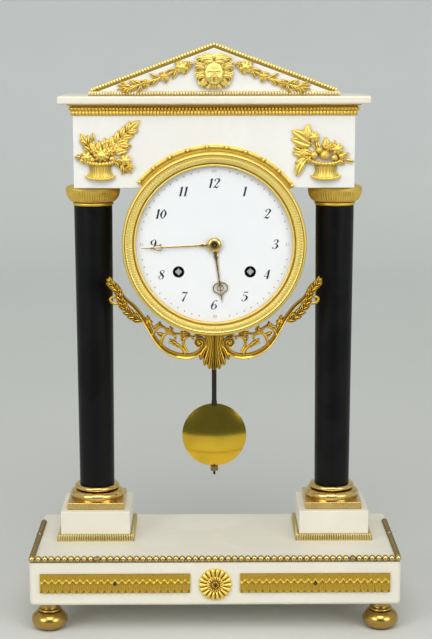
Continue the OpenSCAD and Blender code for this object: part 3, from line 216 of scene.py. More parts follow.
def stem(path, height, r0, r1, flat=1):
    """Tube over a flat path, with the radius r0 at its start and r1 at its end."""
    return tube(insert(path, 2, height, axis=1), linspace(r0, r1, len(path)), 8, flat)


def moulded_bar(path, section, taper=1):
    """Bar along a flat path of (x, y) points. Section is (offset to the left, height) pairs, from left to right.
    Taper is the width at the far end over the width at the start."""
    path, section = array(path, float), array(section, float)
    width = linspace(1, taper, len(path))[:, None, None]
    xy = path[:, None] + width * section[None, :, :1] * leftward(path)[:, None]
    z = broadcast_to(section[None, :, 1:], xy.shape[:2] + (1,))
    return bar(concatenate([xy, z], -1))


def relief(width, height, step, field):
    """Raised field on a width by height ground about the origin. Its rim drops to the ground."""
    x = linspace(-width / 2, width / 2, round(width / step) + 1)
    y = linspace(-height / 2, height / 2, round(height / step) + 1)
    x, y = meshgrid(x, y)
    z = pad(field(x, y), 1)
    return grid(stack([pad(x, 1, "edge"), pad(y, 1, "edge"), z], -1))


def polar_relief(edge, field, rings, spokes):
    """Raised field inside a round outline. Edge(angle) is the radius; field(x, y, share of radius, angle)."""
    a = turn_angles(spokes)[None, :]
    share = linspace(0.001, 1, rings)[:, None]
    r = share * edge(a)
    x, y = r * cos(a), r * sin(a)
    z = field(x, y, share + 0 * a, a + 0 * share)
    points = stack([x, y, z], -1)
    ground = points[-1:] * array([1, 1, 0])
    return grid(concatenate([points, ground])[::-1], closed=True)


def block(low, high):
    """Block with its sides square to the axes."""
    corners = array([(x, y, z) for z in (low[2], high[2]) for y in (low[1], high[1]) for x in (low[0], high[0])])
    faces = [[0, 2, 3, 1], [4, 5, 7, 6], [0, 1, 5, 4], [2, 6, 7, 3], [0, 4, 6, 2], [1, 3, 7, 5]]
    return corners, faces


def prism(outline, y0, y1):
    """Upright outline of (x, z) points, anticlockwise from the front, carried from y0 back to y1."""
    outline = array(outline, float)
    n = len(outline)
    ends = [insert(outline, 1, y, axis=1) for y in (y0, y1)]
    faces = [list(range(n)), list(range(2 * n - 1, n - 1, -1))]
    faces += [[(i + 1) % n, i, n + i, n + (i + 1) % n] for i in range(n)]
    return concatenate(ends), faces


def solid(name, meshes, material, sharp=38):
    """One Blender object from meshes in millimetres."""
    points, faces = join(meshes)
    data = bpy.data.meshes.new(name)
    data.from_pydata((points * MM).tolist(), [], faces)
    data.update()
    data.polygons.foreach_set("use_smooth", [True] * len(data.polygons))
    data.set_sharp_from_angle(angle=radians(sharp))
    data.materials.append(material)
    obj = bpy.data.objects.new(name, data)
    bpy.context.collection.objects.link(obj)
    return obj


def piece(name, meshes, material, body="case", replaces=(), at=None, bevel=0, sharp=38):
    """A solid, placed by the matrix at, that rides on a CAD body and stands for the nodes that it replaces."""
    if at is not None:
        meshes = [moved(m, at) for m in meshes]
    obj = solid(name, meshes, material, sharp)
    if bevel:
        rounding = obj.modifiers.new("Rounding", "BEVEL")
        rounding.width = bevel * MM
        rounding.segments = 4
        rounding.limit_method = "ANGLE"
        rounding.angle_limit = radians(35)
        rounding.harden_normals = True
    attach(obj, body)
    if replaces:
        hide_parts(*replaces)
    return obj


# Materials: colours are (red, green, blue) in percent

class Tree:
    """Short calls that add nodes to a node tree."""

    def __init__(self, tree, coordinate):
        self.tree = tree
        self.where = self.add("TexCoord").outputs[coordinate]

    def put(self, socket, value):
        """Link an output to a socket, or set the socket to a constant."""
        if isinstance(value, bpy.types.NodeSocket):
            self.tree.links.new(value, socket)
        else:
            socket.default_value = (*(c / 100 for c in value), 1) if socket.type == "RGBA" else value

    def fill(self, node, inputs):
        for key, value in inputs.items():
            self.put(node.inputs[key.replace("_", " ")], value)

    def add(self, kind, **inputs):
        made = self.tree.nodes.new("ShaderNode" + kind)
        self.fill(made, inputs)
        return made

    def noise(self, scale, detail=3, distortion=0, stretch=None):
        place = self.where
        if stretch:
            place = self.add("Mapping", Vector=place, Scale=stretch).outputs["Vector"]
        return self.add("TexNoise", Vector=place, Scale=scale, Detail=detail, Distortion=distortion).outputs["Fac"]

    def ramp(self, value, low, high, a, b):
        """Value from low to high, carried over to a..b."""
        return self.add("MapRange", Value=value, From_Min=low, From_Max=high, To_Min=a, To_Max=b).outputs["Result"]

    def blend(self, share, a, b):
        """Colour a where share is 0, and b where it is 1."""
        made = self.tree.nodes.new("ShaderNodeMix")
        made.data_type = "RGBA"
        for index, value in ((0, share), (6, a), (7, b)):
            self.put(made.inputs[index], value)
        return made.outputs[2]


class Shader(Tree):
    """A material with its principled shader."""

    def __init__(self, name):
        self.material = bpy.data.materials.new(name)
        self.material.use_nodes = True
        super().__init__(self.material.node_tree, "Object")
        self.bsdf = self.tree.nodes["Principled BSDF"]

    def set(self, **inputs):
        self.fill(self.bsdf, inputs)

    def hollows(self, distance):
        """1 on open faces and 0 deep in a recess."""
        made = self.add("AmbientOcclusion", Distance=distance * MM)
        made.samples = 6
        return made.outputs["AO"]

    def bump(self, height, strength, depth):
        made = self.add("Bump", Height=height, Strength=strength, Distance=depth * MM)
        self.set(Normal=made.outputs["Normal"])


def dimmed(colour, share):
    return tuple(share * c for c in colour)


def gilt(name, light, dark, rough, grain=0.05, hollow=1.8):
    """Fire-gilt bronze: warm gold with brown in the hollows, partly patina and partly painted shade, and a fine cast
    grain.
    """
    s = Shader(name)
    patch = s.noise(70, 4)
    worn = s.blend(s.ramp(patch, 0.35, 0.65, 0, 0.35), light, dimmed(light, 0.8))
    # Ambient occlusion brings the dark colour into the hollows: partly patina, partly painted shade.
    clear_of_patina_and_shade = s.ramp(s.hollows(hollow), 0.25, 0.85, 0, 1)
    s.set(Base_Color=s.blend(clear_of_patina_and_shade, dark, worn), Metallic=1,
          Roughness=s.ramp(patch, 0.3, 0.7, rough - 0.06, rough + 0.08))
    s.bump(s.noise(1600, 2), 0.5, grain)
    return s.material


def stone(name, ground, vein, rough, vein_share, scale, gloss=0.5):
    """Polished stone with cloudy patches and thin soft veins."""
    s = Shader(name)
    cloud = s.noise(scale, 5, 0.6)
    line = s.ramp(s.noise(scale * 0.7, 8, 2.2), 0.5, 0.56, vein_share, 0)
    tone = s.blend(s.ramp(cloud, 0.3, 0.7, 0, 1), ground, dimmed(ground, 0.95))
    s.set(Base_Color=s.blend(line, tone, vein), Roughness=s.ramp(cloud, 0.3, 0.7, rough, rough + 0.1),
          Subsurface_Weight=0.06, Subsurface_Scale=0.004, Specular_IOR_Level=gloss)
    s.bump(s.noise(900, 3), 0.08, 0.05)
    return s.material


def metal(name, colour, rough, streak, tarnish=None, dents=0):
    """Turned or drawn metal with some tarnish and fine streaks, or with shallow dents from years of polishing."""
    s = Shader(name)
    line = s.noise(400, 2, 0, streak)
    tone = s.blend(s.ramp(s.noise(60, 5), 0.45, 0.75, 0, 0.5), colour, tarnish or dimmed(colour, 0.6))
    s.set(Base_Color=tone, Metallic=1, Roughness=s.ramp(line, 0.3, 0.7, rough, rough + 0.1))
    if dents:
        s.bump(s.noise(45, 3), dents, 0.012)
    else:
        s.bump(line, 0.1, 0.03)
    return s.material


def coated(name, colour, rough, coat=0):
    """Enamel, ink or lacquer: an even colour with faint clouding."""
    s = Shader(name)
    cloud = s.noise(45, 4)
    s.set(Base_Color=s.blend(s.ramp(cloud, 0.3, 0.7, 0, 1), colour, dimmed(colour, 0.97)),
          Roughness=s.ramp(cloud, 0.3, 0.7, rough, rough + 0.05), Coat_Weight=coat, Coat_Roughness=0.05)
    return s.material


marble = stone("Marble", (90, 88.5, 82), (66, 63, 57), 0.32, 0.1, 14)
cream_marble = stone("MarbleCream", (81, 77, 65), (62, 56, 46), 0.34, 0.12, 14)
warm_marble = stone("MarbleWarm", (88, 82, 67), (66, 60, 48), 0.34, 0.12, 14)
black_stone = stone("BlackStone", (0.3, 0.3, 0.3), (2, 2, 2), 0.34, 0.12, 20, 0.15)
gold = gilt("Gilt", (95, 72, 18), (50, 32, 5), 0.46)
pale_gold = gilt("GiltPale", (100, 84, 33), (70, 50, 12), 0.5)
matt_gold = gilt("GiltMatt", (94, 67, 14), (34, 19, 3), 0.48, 0.1)
# Darker gilt: the own tone of the base panels, and a painted shadow as the pediment bead tape.
dull_and_shaded_gold = gilt("GiltDullAndShaded", (57, 37, 5), (20, 11, 1.5), 0.44, 0.06)
bezel_gold = gilt("GiltBezel", (100, 79, 23), (64, 45, 10), 0.54, 0.12)
mask_gold = gilt("GiltMask", (99, 79, 25), (40, 25, 4.5), 0.46, 0.05, 2.4)
hand_gold = gilt("GiltHands", (74, 55, 20), (14, 9, 2), 0.26, 0.01, 2.4)
foot_gold = gilt("GiltFeet", (53, 34, 8.5), (12, 7, 1.5), 0.26, 0.02)
# Dark bronze: the own colour of the nails and the rating nut, and painted shade on the base's bead strips and side
# rows.
dark_bronze_and_shade = gilt("BronzeWornAndShade", (32, 23.5, 10), (5, 3.5, 1.5), 0.36, 0.04)
# Darker gilt with wide dark hollows for the scroll mount: painted shade of the bezel over it and in its openwork.
shaded_scroll_gold = gilt("GiltScrollShaded", (80, 50, 6.5), (13, 6.5, 0.8), 0.33, 0.05, 2.6)
faded_gold = gilt("GiltFaded", (82, 68, 35), (40, 29, 10), 0.5)
bright_gold = gilt("GiltBurnished", (80, 57, 20), (27, 16.5, 5), 0.24, 0.015)
aged_gold = gilt("GiltAged", (66, 54, 23), (22, 15, 4.5), 0.42, 0.08)
old_gold = gilt("GiltWorn", (70, 50, 17), (11, 6.5, 1.5), 0.24, 0.02)
polished_brass = metal("BrassPolished", (80, 53, 5), 0.09, (1, 1, 8), (55, 36, 4), 0.12)
brass = metal("Brass", (74, 56, 23), 0.22, (6, 1, 1))
steel = metal("Steel", (50, 50, 52), 0.25, (1, 6, 1))
iron = metal("Iron", (6, 5, 4), 0.45, (1, 1, 6), (10, 5, 3))
enamel = coated("Enamel", (95, 96, 95), 0.1, 0.5)
ink = coated("Ink", (1.2, 1.2, 1.4), 0.35)
soft_ink = coated("InkWorn", (34, 34, 36), 0.4)
worn_steel = coated("SteelWorn", (42, 40, 38), 0.5)
# Near-black for the sleeves in the winding holes: painted shade.
shade = coated("HoleShade", (0.6, 0.5, 0.5), 0.5)


def glass_material():
    s = Shader("ClearGlass")
    s.set(Base_Color=(2, 2, 2), Roughness=s.ramp(s.noise(30, 3), 0.3, 0.7, 0.01, 0.04), Alpha=0.012)
    return s.material


glass = glass_material()


def marble_blocks():
    slab_drop = 2
    arch_r = (drum_high[0] - drum_low[0]) / 2 + 0.2
    arch_foot = degrees(arcsin((ent_low[2] - dial_z) / arch_r))
    arch = arc(0, dial_z, arch_r, 180 - arch_foot, arch_foot, 60)
    ent_outline = [(ent_low[0], ent_low[2]), *arch, (ent_high[0], ent_low[2]),
                   (ent_high[0], ent_high[2]), (ent_low[0], ent_high[2])]
    pedi_outline = [(pedi_low[0], pedi_low[2]), (pedi_high[0], pedi_low[2]), (0, pedi_high[2])]
    blocks = [
        ("base_slab", [block(base_low - array((0, 0, slab_drop)), base_high)], "base_plinth", cream_marble, 3.2),
        ("entablature_block", [prism(ent_outline, ent_low[1], ent_high[1])], "entablature", marble, 0.7),
        ("cornice_slab", [block(*span("cornice"))], "cornice", warm_marble, 1.8),
        ("pediment_block", [prism(pedi_outline, pedi_low[1], pedi_high[1])], "pediment", marble, 0.5),
        ("pedestal_blocks", both_sides([block((column_x - ped_w / 2, ped_low[1], ped_low[2]), ped_high)]),
         "pedestals", cream_marble, 0.8),
    ]
    for name, meshes, node, material, bevel in blocks:
        piece(name, meshes, material, replaces=[node], bevel=bevel)


# Columns, their bases and capitals, and the feet

def at_columns(mesh):
    return both_sides([moved(mesh, shift(column_x, column_y))])


def columns():
    foot_r, top_r = 14.4, (column_high[1] - column_low[1]) / 2
    chamfer = 0.6
    z0, z1 = column_low[2], column_high[2]
    shaft = [(0, z0), (foot_r - chamfer, z0), (foot_r, z0 + chamfer), (top_r, z1 - chamfer),
             (top_r - chamfer, z1), (0, z1)]
    piece("column_shafts", at_columns(lathe(shaft, 128)), black_stone, replaces=["columns"])


def column_bases():
    low, high = span("column_bases")
    half_w = (high[1] - low[1]) / 2
    plinth_top, top = low[2] + 5.7, high[2]
    big, small, neck = 3.4, 1.9, 16.2
    big_r = 22.3 - big
    turned = [(0, plinth_top), (big_r + 0.72 * big, plinth_top), *arc(big_r, plinth_top + big, big, -44, 85, 14),
              (neck + 1.4, plinth_top + 2 * big + 0.2), (neck, plinth_top + 2 * big + 0.6),
              (neck, top - 2 * small - 0.3), *arc(neck + 0.6, top - small, small, -80, 88, 10), (0, top)]
    plinth = block((column_x - half_w, low[1], low[2]), (column_x + half_w, high[1], plinth_top))
    piece("column_base_turnings", at_columns(lathe(turned, 96)), bright_gold, replaces=["column_bases"])
    piece("column_base_plinths", both_sides([plinth]), bright_gold, bevel=0.5)


def capitals():
    low, high = span("capitals")
    ring, ribs, rib_depth = 1.5, 64, 0.55
    low_r, rim_r = 15.8, (high[1] - low[1]) / 2
    z0, z1 = low[2], high[2]
    bowl_h = (z1 - z0) * 0.8 - 2 * ring
    bowl = [(low_r + (rim_r - low_r - 0.5) * sin(a), z0 + 2 * ring + bowl_h * (1 - cos(a)))
            for a in linspace(0, pi / 2, 16)]
    lower = [(0, z0), (low_r - 0.4, z0), *arc(low_r - 0.6, z0 + ring, ring, -80, 80, 8)]
    rim = [(rim_r, bowl[-1][1] + 0.2), (rim_r, z1 - 3), (rim_r - 0.5, z1 - 1.7), (rim_r - 1.6, z1 - 0.6),
           (rim_r - 3.4, z1), (0, z1)]
    first, last = len(lower), len(lower) + len(bowl) - 1

    def ripple(row, angle):
        inside = (row > first) & (row < last)
        return inside * rib_depth * (abs(cos(angle * ribs / 2)) - 0.7), 0

    piece("capital_bowls", at_columns(lathe(lower + bowl + rim, 8 * ribs, ripple)), matt_gold, replaces=["capitals"])


def feet():
    low, high = span("feet")
    r, top = 14.5, base_low[2]
    x = high[0] - r
    profile = [(0, 0), (8.7, 0), (9.4, 0.5), *arc(r - 7.2, 8, 7.2, -62, 58, 16), (10.6, 14.6), (9.6, 14.9),
               *arc(8.3, 16.2, 1.2, -70, 80, 6), (7.2, 17.7), (6.9, 18.6), (6.9, top - 1.2),
               (7.6, top - 0.6), (7.6, top), (0, top)]
    turned = lathe(profile, 72)
    meshes = [moved(turned, shift(sx * x, y)) for sx in (-1, 1) for y in (low[1] + r, high[1] - r)]
    piece("feet_turned", meshes, foot_gold, replaces=["feet"])


# Mouldings that run round a block

def wrapped(half, front_y, back_y, z0, height, rows, out, pitch, fine, sides):
    """Strips round a block. Out(height share, running length) is the stand-off; sides is any of F, L, R and B."""
    meshes = []
    v = linspace(0, 1, rows)[:, None]
    for side in sides:
        run = 2 * half if side in "FB" else back_y - front_y
        count = round(run / pitch)
        s = linspace(0, count * pitch, count * fine + 1)[None, :]
        d = pad(out(v, s), ((1, 1), (0, 0)))
        z = pad(z0 + height * v + 0 * s, ((1, 1), (0, 0)), "edge")
        t = s / s[0, -1]
        if side in "FB":
            x = (2 * t - 1) * (half + d)
            y = front_y - d if side == "F" else back_y + d
        else:
            x = half + d
            far = back_y + (d if "B" in sides else 0)
            y = front_y - d + t * (far - front_y + d)
        mesh = grid(stack([x, y + 0 * x, z], -1))
        if side == "L":
            mesh = mirrored(mesh)
        if side == "B":
            mesh = mesh[0], [f[::-1] for f in mesh[1]]
        meshes.append(mesh)
    return meshes


def dome(x, y=0):
    """Half ball over the unit circle."""
    return sqrt(clip(1 - x * x - y * y, 0, 1))


def around(s, pitch):
    """Running length as -1..1 within each repeat."""
    return 2 * ((s / pitch) % 1) - 1


def mouldings():
    low, high = span("pedestal_mouldings")
    height, stand, rib = high[2] - low[2] + 1.2, (high[1] - low[1] - ped_w) / 2, 1.8

    def ribbed(v, s):
        return stand * (1 - 0.3 * v ** 4) - 0.9 * abs(around(s, rib)) ** 1.5 * smoothstep(0, 0.1, v)

    meshes = []
    strips = wrapped(ped_w / 2, ped_low[1], ped_high[1], low[2], height, 9, ribbed, rib, 8, "FLRB")
    for sx in (-1, 1):
        meshes += [moved(m, shift(sx * column_x, 0)) for m in strips]
    piece("pedestal_ribs", meshes, aged_gold, replaces=["pedestal_mouldings"])

    low, high = span("entablature_frieze")
    pitch = 5.38

    def leaf_and_bead(v, s):
        tips = 0.7 + dome(around(s, pitch / 2) / 0.96, (v - 0.22) / 0.24)
        bead = 1.2 + 2.7 * dome(around(s + pitch / 4, pitch / 2) / 0.86, (v - 0.6) / 0.16)
        cove = 1.6 + 2.9 * smoothstep(0.78, 0.95, v) ** 2
        return where(v < 0.4, tips, where(v < 0.78, bead, cove))

    strips = wrapped(ent_high[0], ent_front, high[1], low[2], high[2] - low[2], 25, leaf_and_bead, pitch, 14, "FLR")
    piece("frieze_moulding", strips, matt_gold, replaces=["entablature_frieze"])

    low, high = span("pediment_moulding")
    tooth = 2.23

    def milled(v, s):
        return 0.5 + dome(around(s, tooth) / 1.02, (v - 0.5) / 0.52)

    strips = wrapped(high[0], pedi_low[1], pedi_high[1], low[2], high[2] - low[2], 11, milled, tooth, 8, "F")
    piece("pediment_strip", strips, faded_gold, replaces=["pediment_moulding"])


def bead_row(start, end, pitch, r, up, tall=1):
    """Beads from start to end; up is the way they stand out, tall their height over their width."""
    start, end, up = (array(v, float) for v in (start, end, up))
    count = round(norm(end - start) / pitch)
    along = (end - start) / norm(end - start)
    across = cross(up, along)
    turn_to = Matrix([[*c, 0] for c in zip(along, across, up)] + [[0, 0, 0, 1]])
    bead = ball(r, (0, 0, 0.75 * r), tall, 16)
    return [moved(bead, shift(*(start + (end - start) * i / count)) @ turn_to) for i in range(count + 1)]


def bead_rows():
    back = span("base_beads")[1][1]
    r, pitch = 2.6, 5.27
    x, y, z = base_high[0] - 2.4, base_low[1] + 1, base_high[2] - 1.9
    up = (0, 0, 1)
    piece("base_bead_row", bead_row((-x, y, z), (x, y, z), pitch, r, up), old_gold, replaces=["base_beads"])
    # The strips under the beads and the side rows are dark bronze: painted shade between the beads and on the sides
    # that face away from the light.
    meshes = [block((-x - 1.2, y - 1.4, z - 0.8), (x + 1.2, y + 2.4, z + 0.2))]
    for s in (-1, 1):
        meshes += bead_row((s * x, y + pitch, z), (s * x, back - r, z), pitch, r, up)
        meshes.append(block((s * x - 1.6, y, z - 0.8), (s * x + 1.6, back, z + 0.2)))
    piece("base_bead_sides", meshes, dark_bronze_and_shade)
    nail = lathe([(2.6, 0), (2.6, 1.4), (1.7, 2.6), (0, 3)], 20)
    nails = [(-95, y - 0.8, z + 1.2), (110, y - 0.8, z + 1.2), (-x, y + 62, z + 2), (x, y + 62, z + 2)]
    piece("base_bead_nails", [moved(nail, shift(*n)) for n in nails], dark_bronze_and_shade)

    r, pitch, tape = 1.3, 2.38, 1.6
    slope = arctan2(pedi_high[2] - pedi_low[2], pedi_high[0])
    down = array([cos(slope), 0, -sin(slope)])
    out = array([sin(slope), 0, cos(slope)])
    apex = array([0, pedi_low[1] + 2, pedi_high[2]])
    length = hypot(pedi_high[2] - pedi_low[2], pedi_high[0]) - 6
    row = bead_row(apex + 0.7 * pitch * down + tape * out, apex + length * down + tape * out, pitch, r, out, 1.5)
    foot = apex + length * down
    strip_outline = [apex[::2], foot[::2], foot[::2] + tape * out[::2], apex[::2] + [0, tape / cos(slope)]]
    meshes = both_sides(row) + [ball(1.2 * r, apex + [0, 0, tape + 0.8 * r])]
    piece("pediment_bead_rows", meshes, pale_gold, replaces=["pediment_beads"])
    # The tape under the beads is in darker gilt: a painted shadow below the beads.
    tapes = both_sides([prism(strip_outline[::-1], apex[1] - 1.8, apex[1] + 1.8)])
    piece("pediment_bead_tape", tapes, dull_and_shaded_gold)


def base_ornament():
    """Panels and rosette of the base."""
    panel_drop, rosette_drop = 1.5, 2.4
    low, high = span("frieze_panels")
    inner, outer, middle = 20, high[0], (low[2] + high[2]) / 2 - panel_drop
    width, height = outer - inner, high[2] - low[2]
    pitch, course = 5.6, height / 2

    def scales(x, y):
        row = where(y >= 0, 0, 1)
        v = where(row == 0, course - y, -y) / course
        u = around(x + row * pitch / 2, pitch)
        tip = 0.98 - 0.32 * u * u
        ribs = 0.22 * cos(u * pi * 3) * smoothstep(0, 0.3, v)
        lip = where(row == 0, 0.7, 0.2) * exp(-((tip - v) / 0.13) ** 2)
        over = 0.8 + v + 0.3 * (1 - u * u) + ribs + lip
        under = where(row == 0, 1, 0.5) + 0.1 * abs(u)
        return where(v < tip, over, under)

    panel = moved(relief(width, height, 0.28, scales), front((inner + outer) / 2, base_low[1], middle))
    piece("base_panels", both_sides([panel]), dull_and_shaded_gold, replaces=["frieze_panels"], sharp=60)
    pin = lathe([(1.2, 0), (1.2, 0.6), (0.8, 1.1), (0, 1.3)], 16)
    pins = [moved(pin, front(s * (inner + outer) / 2, base_low[1] - 1.9, middle)) for s in (-1, 1)]

    low, high = span("base_rosette")
    r, depth = (high[0] - low[0]) / 2, high[1] - low[1]
    petals = 18

    def edge(a):
        return r * (0.89 + 0.11 * sqrt(abs(cos(petals * a / 2))))

    def field(x, y, share, a):
        rib = abs(cos(petals * a / 2)) ** 0.6
        outer_row = 0.1 + 0.8 * dome((share - 0.73) / 0.33) * (0.2 + 0.8 * rib)
        small = abs(sin(petals * a / 2)) ** 0.6
        inner_row = 0.25 + 0.65 * dome((share - 0.4) / 0.16) * (0.3 + 0.7 * small)
        eye = 0.45 + 0.45 * dome((share - 0.17) / 0.07, around(a, pi / 4) / 0.9)
        rows = where(share < 0.55, maximum(inner_row, outer_row), outer_row)
        return depth * where(share < 0.24, eye, rows)

    spot = front(0, base_low[1], (low[2] + high[2]) / 2 - rosette_drop)
    piece("rosette", [polar_relief(edge, field, 44, 288)], gold, replaces=["base_rosette"], at=spot, sharp=70)
    pins.append(moved(pin, spot @ shift(0, 0, depth - 0.6)))
    piece("base_ornament_pins", pins, iron)


# Leaves, flowers and fruit in relief: local x and y on the ground, z towards the viewer

def plume(path, half_widths, thick, vein=0, across=9):
    """Raised form with a domed face along a flat path; half_widths has one value per point."""
    path, w = array(path, float), array(half_widths, float)
    u = linspace(1, -1, across)
    crown = dome(u) * (1 - vein * exp(-(u / 0.2) ** 2))
    rise = thick * sqrt(w / w.max())
    xy = path[:, None] + u[None, :, None] * w[:, None, None] * leftward(path)[:, None]
    top = concatenate([xy, (rise[:, None] * crown)[..., None]], -1)
    under = top[:, -2:0:-1] * array([1, 1, 0])
    return grid(concatenate([top, under], 1), closed=True)


def leaf(length, width, thick, bend=0, lobes=0):
    """Pointed leaf from the origin along x, bent by so many degrees; lobes cut its edge."""
    t = linspace(0, 1, 8 * max(lobes, 2) + 1)
    heading = radians(bend) * t
    steps = stack([cos(heading), sin(heading)], -1) * length / (len(t) - 1)
    path = cumsum(steps, 0) - steps[0]
    shape = sin(pi * t ** 0.75) ** 0.85 + 0.03
    if lobes:
        shape *= 1 - 0.3 * (0.5 + 0.5 * cos(2 * pi * lobes * t))
    return plume(path, width / 2 * shape, thick, 0.4)


def flower(r, petals, thick=2.6):
    def edge(a):
        return r * (0.68 + 0.32 * sqrt(abs(cos(petals * a / 2))))

    def field(x, y, share, a):
        crease = 0.6 + 0.4 * abs(cos(petals * a / 2))
        petal = thick * (0.35 + 0.5 * sin(pi * share ** 0.9)) * crease
        eye = thick * (0.5 + 0.5 * dome(share / 0.3))
        return where(share < 0.3, eye, petal)

    return polar_relief(edge, field, 14, petals * 12)


def placed(mesh, x, y, angle=0, z=0):
    return moved(mesh, shift(x, y, z) @ turn(angle))


def spray(points, pairs, length, width):
    """Stem through points, with pointed leaves in pairs and one at its end."""
    path = curve(points, 8)
    heading = headings(path)
    meshes = [stem(path, 1.2, 1, 0.6), placed(leaf(length, width, 2.4), *path[-1], heading[-1], 1)]
    for i, share in enumerate(linspace(0.2, 0.95, pairs)):
        k = int(share * (len(path) - 1))
        size = 1 - 0.25 * share
        for side in (-1, 1):
            meshes.append(placed(leaf(size * length, size * width, 2.4, -side * 14), *path[k],
                                 heading[k] + side * 40, 0.7 + 0.4 * (i % 2)))
    return meshes


def bouquet(sprays, leaves, flowers, fruits):
    """Sprays, leaves (x, y, angle, length, width), flowers (x, y, r, petals) and fruits (x, y, r)."""
    meshes = [m for plan in sprays for m in spray(*plan)]
    for i, (x, y, angle, length, width) in enumerate(leaves):
        meshes.append(placed(leaf(length, width, 2.6, 14 if i % 2 else -14), x, y, angle, 0.5 + 0.5 * (i % 3)))
    for x, y, r, petals in flowers:
        meshes.append(placed(flower(r, petals), x, y, 11 * petals, 2.2))
        meshes.append(ball(0.8 * r, (x, y, 1.6), 0.9, 12))
    for x, y, r in fruits:
        meshes.append(ball(r, (x, y, 2.4), 0.95, 18))
        meshes.append(ball(0.28 * r, (x + 0.25 * r, y + 0.35 * r, 2.3 + 0.9 * r), 0.7, 8))
    return meshes


# Pediment: mask and garlands

def mask():
    low, high = span("mask")
    half_w, half_h = 16.2, 14.4
    depth = high[1] - low[1]
    face_w, face_h, drop = 6.9, 8.7, 1.7
    brow, nose, mouth = 0.2 * face_h, -0.4 * face_h, -0.6 * face_h
    eye_x = 0.4 * face_w

    def lock(x, y, heading, length, bend, half, lift):
        """Wavy lock of three strands from (x, y), curled at its tip."""
        t = linspace(0, 1, 13)
        way = radians(heading + bend * (1.5 * t ** 2 - 0.55 * sin(pi * t)))
        strands = []
        for off, share in ((-0.62, 0.86), (0.62, 0.92), (0, 1)):
            steps = stack([cos(way), sin(way)], -1) * length * share / 12
            side = array([-sin(way[0]), cos(way[0])]) * off * half
            path = array([x, y]) + side + cumsum(steps, 0)
            width = 0.62 * half * sqrt(clip(1.02 - t ** 3, 0.06, 1))
            strands.append(placed(plume(path, width, 1.9, 0, 7), 0, 0, 0, lift + 0.5 * (off == 0)))
        return strands

    plan = [
        (0.2, 11.4, -12, 10.5, -44, 1.9, 1.3), (0.2, 9.4, -12, 11, -52, 1.9, 2.2), (0.2, 7.5, -20, 9, -56, 1.6, 3.2),
        (6.4, 7.4, 14, 8.6, -84, 1.9, 1.7), (7, 4.6, 18, 9, 72, 1.9, 1.3), (7.2, 2, 2, 9.2, -82, 1.9, 1.7),
        (7.2, -1, -8, 9, 76, 1.8, 1.2), (7, -3.6, -22, 8.6, -72, 1.8, 1.6), (6.4, -6.2, -34, 8, 80, 1.7, 1.2),
        (5.2, -8.6, -46, 6.6, -64, 1.6, 1.5), (2.4, -10.4, -38, 5.2, 72, 1.5, 1.2), (0.6, -11, -70, 3.4, 60, 1.3, 1),
        (6.4, 5.6, -72, 5.4, 64, 1.2, 2.6), (7, 0.6, -84, 5.2, 66, 1.2, 2.4), (6.4, -4.4, -96, 5, 70, 1.1, 2.2)]
    hair = both_sides([strand for spec in plan for strand in lock(*spec)])

    # brows, eyes, nostrils, lips, chin and cheeks as soft bumps: (rise, x, y, half width, half height)
    forms = [
        (0.45, eye_x, brow, 1.7, 0.5), (-0.8, eye_x, 0.1, 1.3, 0.75), (0.85, eye_x, 0, 0.95, 0.5),
        (-0.3, eye_x, -0.05, 0.8, 0.14), (0.7, 0.8, nose + 0.25, 0.55, 0.5), (0.9, 0, mouth + 0.42, 1.75, 0.38),
        (0.99, 0, mouth - 0.48, 1.45, 0.42), (-0.55, 0, mouth, 2.1, 0.18), (-0.4, 0, mouth - 1.3, 1.6, 0.4),
        (0.75, 0, -0.86 * face_h, 1.5, 0.9), (0.45, 3.6, nose, 1.7, 1.7)]

    def face(x, y):
        oval = (x / (face_w + 0.6)) ** 2 + (y / (face_h + 0.6)) ** 2
        z = 3 + 2 * sqrt(clip(1 - oval, 0, 1))
        for rise, cx, cy, wide, tall in forms:
            z += rise * exp(-((abs(x) - cx) / wide) ** 2 - ((y - cy) / tall) ** 2)
        ridge = smoothstep(brow + 0.8, brow - 0.8, y) * smoothstep(nose - 0.3, nose + 0.4, y)
        z += (1.1 + 0.7 * smoothstep(brow, nose, y)) * exp(-(x / 0.75) ** 2) * ridge
        return where(oval < 1, z, 0)

    top = 7.6

    def edge(a):
        return half_w * half_h * 0.88 / hypot(half_h * cos(a), half_w * sin(a))

    def field(x, y, share, a):
        ground = 1.6 * dome(share) + 0.4
        return maximum(ground, face(x, y + drop)) * depth / top

    spot = front(0, high[1], (low[2] + high[2]) / 2)
    piece("mask_relief", [polar_relief(edge, field, 110, 300), *hair], mask_gold, replaces=["mask"], at=spot, sharp=75)


def garlands():
    line = curve([(16.5, 25.3), (26, 21.9), (40, 14.9), (54, 10.1), (64, 7.3), (70, 6)], 8)
    heading = headings(line)
    meshes = [stem(line, 1.3, 1.3, 1.3)]
    for i, share in enumerate(linspace(0.08, 0.84, 9)):
        k = int(share * (len(line) - 1))
        for side in (-1, 1):
            spread = 30 + 14 * ((i + side) % 3)
            meshes.append(placed(leaf(8.4 - i % 2, 3, 2.6, -side * 18), *line[k], heading[k] + side * spread, 0.7))
    for angle, length in ((-14, 12), (3, 11.5), (20, 10), (-34, 10)):
        meshes.append(placed(leaf(length, 2.9, 2.2, 6), 65, 7.4, angle, 0.6))
    for x, y, r, petals in ((25, 22.3, 5.2, 6), (20, 24.6, 2.8, 5), (39, 15.4, 3.6, 5), (54, 10, 2.8, 5)):
        meshes.append(placed(flower(r, petals), x, y, 15, 2))
        meshes.append(ball(0.8 * r, (x, y, 1.5), 0.9, 12))
    spot = front(0, pedi_low[1], pedi_low[2])
    piece("garland_reliefs", both_sides(meshes), gold, replaces=["garlands"], at=spot, sharp=60)


